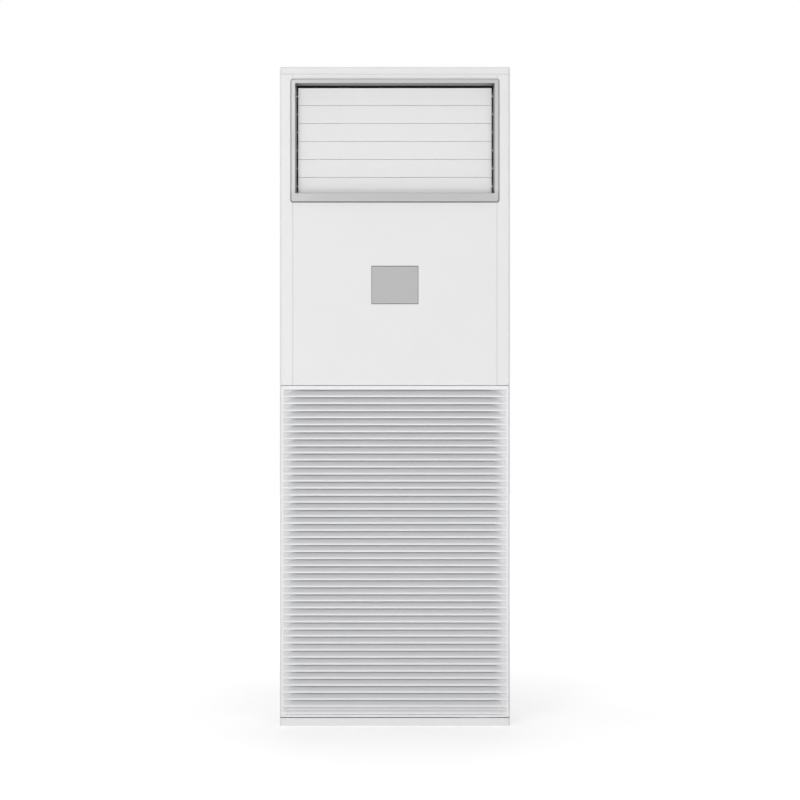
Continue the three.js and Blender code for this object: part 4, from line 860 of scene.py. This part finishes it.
def grille_hinge(work, side, front, z0):
    """Bearing block outside the lug, a wall inside it, and a shield in front of both."""
    def part(x0, x1, d0, d1, low, high):
        block(work, side * x0, side * x1, front + d0, front + d1, z0 + low, z0 + high)

    x0 = LUG_X + LUG_ROOM
    x1 = x0 + BEARING_L
    inner = LUG_X - LUG_ROOM - HINGE_WALL
    near, far = HINGE_Y
    foot, top = HINGE_Z
    part(inner, inner + HINGE_WALL, near, far, foot, top)
    part(x0, x1, BEARING_LID[0], far, BEARING_LID[1], top)
    length, shield_near, shield_far = SHIELD_TAPER
    shield = [(inner - length, shield_near), (inner, near), (x1, near), (x1, GRILLE_SKIN)]
    shield += [(inner, GRILLE_SKIN), (inner - length, shield_far)]
    prism(work, [(side * x, front + d) for x, d in shield], 2, z0 + foot, z0 + top)
    cy, cz = front + HINGE_DEPTH, z0 + HINGE_UP
    bore = arc(cy, cz, BORE_R, 0, 315, 7)
    square = ((1, 0), (1, 1), (0, 1), (-1, 1), (-1, 0), (-1, -1), (0, -1), (1, -1))
    edge = [(cy + BEARING_REACH * u, cz + BEARING_REACH * v) for u, v in square]
    loops = ((edge, x0), (edge, x1), (bore, x1), (bore, x0))
    loft(work, [[(side * x, y, z) for y, z in loop] for loop, x in loops], closed=True)


def intake_grille():
    """Blades with rounded noses that run out on bowed cheeks, inside one border."""
    low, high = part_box("intake_grille")
    half, front, rear = high.x, low.y, high.y
    work = bmesh.new()
    for side in (-1, 1):
        grille_cheek(work, side, half, front, rear, low.z, high.z)
        grille_hinge(work, side, front, low.z)
    for k in range(BLADES):
        grille_blade(work, high.z - GRILLE_HEAD - BLADE_DROP + BLADE_LAP - BLADE_PITCH * k, front, half)
    grille_foot(work, half, front, low.z)
    grille_head(work, half, front, rear, high.z)
    rib = front + BLADE_DEPTH
    for x in (-RIB_X, RIB_X):
        block(work, x - RIB_T / 2, x + RIB_T / 2, rib - MM, rib + RIB_DEPTH, low.z + MM, high.z - MM)
    stand_in("intake_grille", work)


WINDOW_GAPS = (0.1 * MM, 0.6 * MM)  # beside and above the window, more than the solid's
WINDOW_FACE = 3 * MM  # depth of the part that shows in the opening
WINDOW_ROUND = 0.3 * MM


def display_window():
    """The window, a little smaller than its opening, so that a dark joint runs round it."""
    low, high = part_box("display_window")
    middle = (low + high) / 2
    work = welded_copy("display_window")
    for vert in work.verts:
        if vert.co.y < low.y + WINDOW_FACE:
            vert.co.x -= math.copysign(WINDOW_GAPS[0], vert.co.x - middle.x)
            vert.co.z -= math.copysign(WINDOW_GAPS[1], vert.co.z - middle.z)
    round_edges(work, WINDOW_ROUND, 2)
    stand_in("display_window", work)


FIN_PITCH = 2.6 * MM
FIN_T = 0.45 * MM


def coil_fins():
    """Thin plates side by side between the end plates; the tubes run through them."""
    spots = [v.co for v in NODES["coil_fins"].data.vertices]
    low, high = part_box("coil_fins")
    corners = [pick(spots, key=lambda p: p[k]) for pick, k in ((min, 1), (min, 2), (max, 1), (max, 2))]
    outline = [(p.y, p.z) for p in corners]
    count = round((high.x - low.x - FIN_T) / FIN_PITCH)
    step = (high.x - low.x - FIN_T) / count
    work = bmesh.new()
    for i in range(count + 1):
        x = low.x + step * i
        prism(work, outline, 0, x, x + FIN_T)
    stand_in("coil_fins", work)


NET_HEM = 5 * MM
NET_PITCH = 4 * MM
NET_THREAD = 0.38 * MM


def filter_net():
    """Threads across each other inside a flat hem."""
    low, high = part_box("filter_net")
    x0, x1, z0, z1 = low.x + NET_HEM, high.x - NET_HEM, low.z + NET_HEM, high.z - NET_HEM
    work = bmesh.new()
    for xa, xb in ((low.x, x0), (x1, high.x)):
        block(work, xa, xb, low.y, high.y, low.z, high.z)
    for za, zb in ((low.z, z0), (z1, high.z)):
        block(work, x0, x1, low.y, high.y, za, zb)
    middle = (low.y + high.y) / 2
    for i in range(1, round((x1 - x0) / NET_PITCH)):
        x = x0 + NET_PITCH * i
        block(work, x, x + NET_THREAD, middle - NET_THREAD, middle, z0, z1)
    for i in range(1, round((z1 - z0) / NET_PITCH)):
        z = z0 + NET_PITCH * i
        block(work, x0, x1, middle, middle + NET_THREAD, z, z + NET_THREAD)
    stand_in("filter_net", work)


SCREW_R = 4.2 * MM
SCREW_H = 1.9 * MM
SCREW_INSET = 11 * MM
SCREW_ENDS = 41 * MM  # from the panel's upper and lower edge
SCREW_ROWS = 6
CROSS = [0.58 if i % 6 in (0, 1, 5) else 0.2 for i in range(24)]  # recess, shares of the radius


def screw_head(work, x, y, z):
    """Pan head with a cross recess, standing on y and facing +Y."""
    round_parts = ((1.0, 0.0), (1.0, 0.45), (0.93, 0.75), (0.75, 0.96))  # shares of radius and height
    rings = [([r] * len(CROSS), h) for r, h in round_parts]
    rings += [(CROSS, 1.0), ([0.8 * r for r in CROSS], 0.35)]
    turns = [2 * math.pi * i / len(CROSS) for i in range(len(CROSS))]
    loops = []
    for radii, h in rings:
        spots = [(SCREW_R * r * math.cos(t), SCREW_R * r * math.sin(t)) for r, t in zip(radii, turns)]
        loops.append([(x + dx, y + SCREW_H * h, z + dz) for dx, dz in spots])
    loft(work, loops)


def back_screws():
    """Screws along both upright edges of the back panel."""
    low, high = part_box("back_panel")
    work = bmesh.new()
    rise = (high.z - low.z - 2 * SCREW_ENDS) / (SCREW_ROWS - 1)
    for side in (low.x + SCREW_INSET, high.x - SCREW_INSET):
        for i in range(SCREW_ROWS):
            screw_head(work, side, high.y, low.z + SCREW_ENDS + rise * i)
    add_piece("back_screws", to_mesh(work, "back_screws"), "steel", NODES["back_panel"]["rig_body"])


SPECIAL = {*LOUVRES, "outlet_frame", "intake_grille", "display_window", "coil_fins", "filter_net"}


make_camera()
make_world()
make_floor()
for softbox in SOFTBOXES:
    add_softbox(*softbox)
paint_nodes()
for node_name in sorted(set(NODES) - SPECIAL):
    soften(node_name)
for node_name in LOUVRES:
    louvre(node_name)
outlet_frame()
intake_grille()
display_window()
coil_fins()
filter_net()
back_screws()

bpy.context.scene.view_settings.view_transform = "Standard"
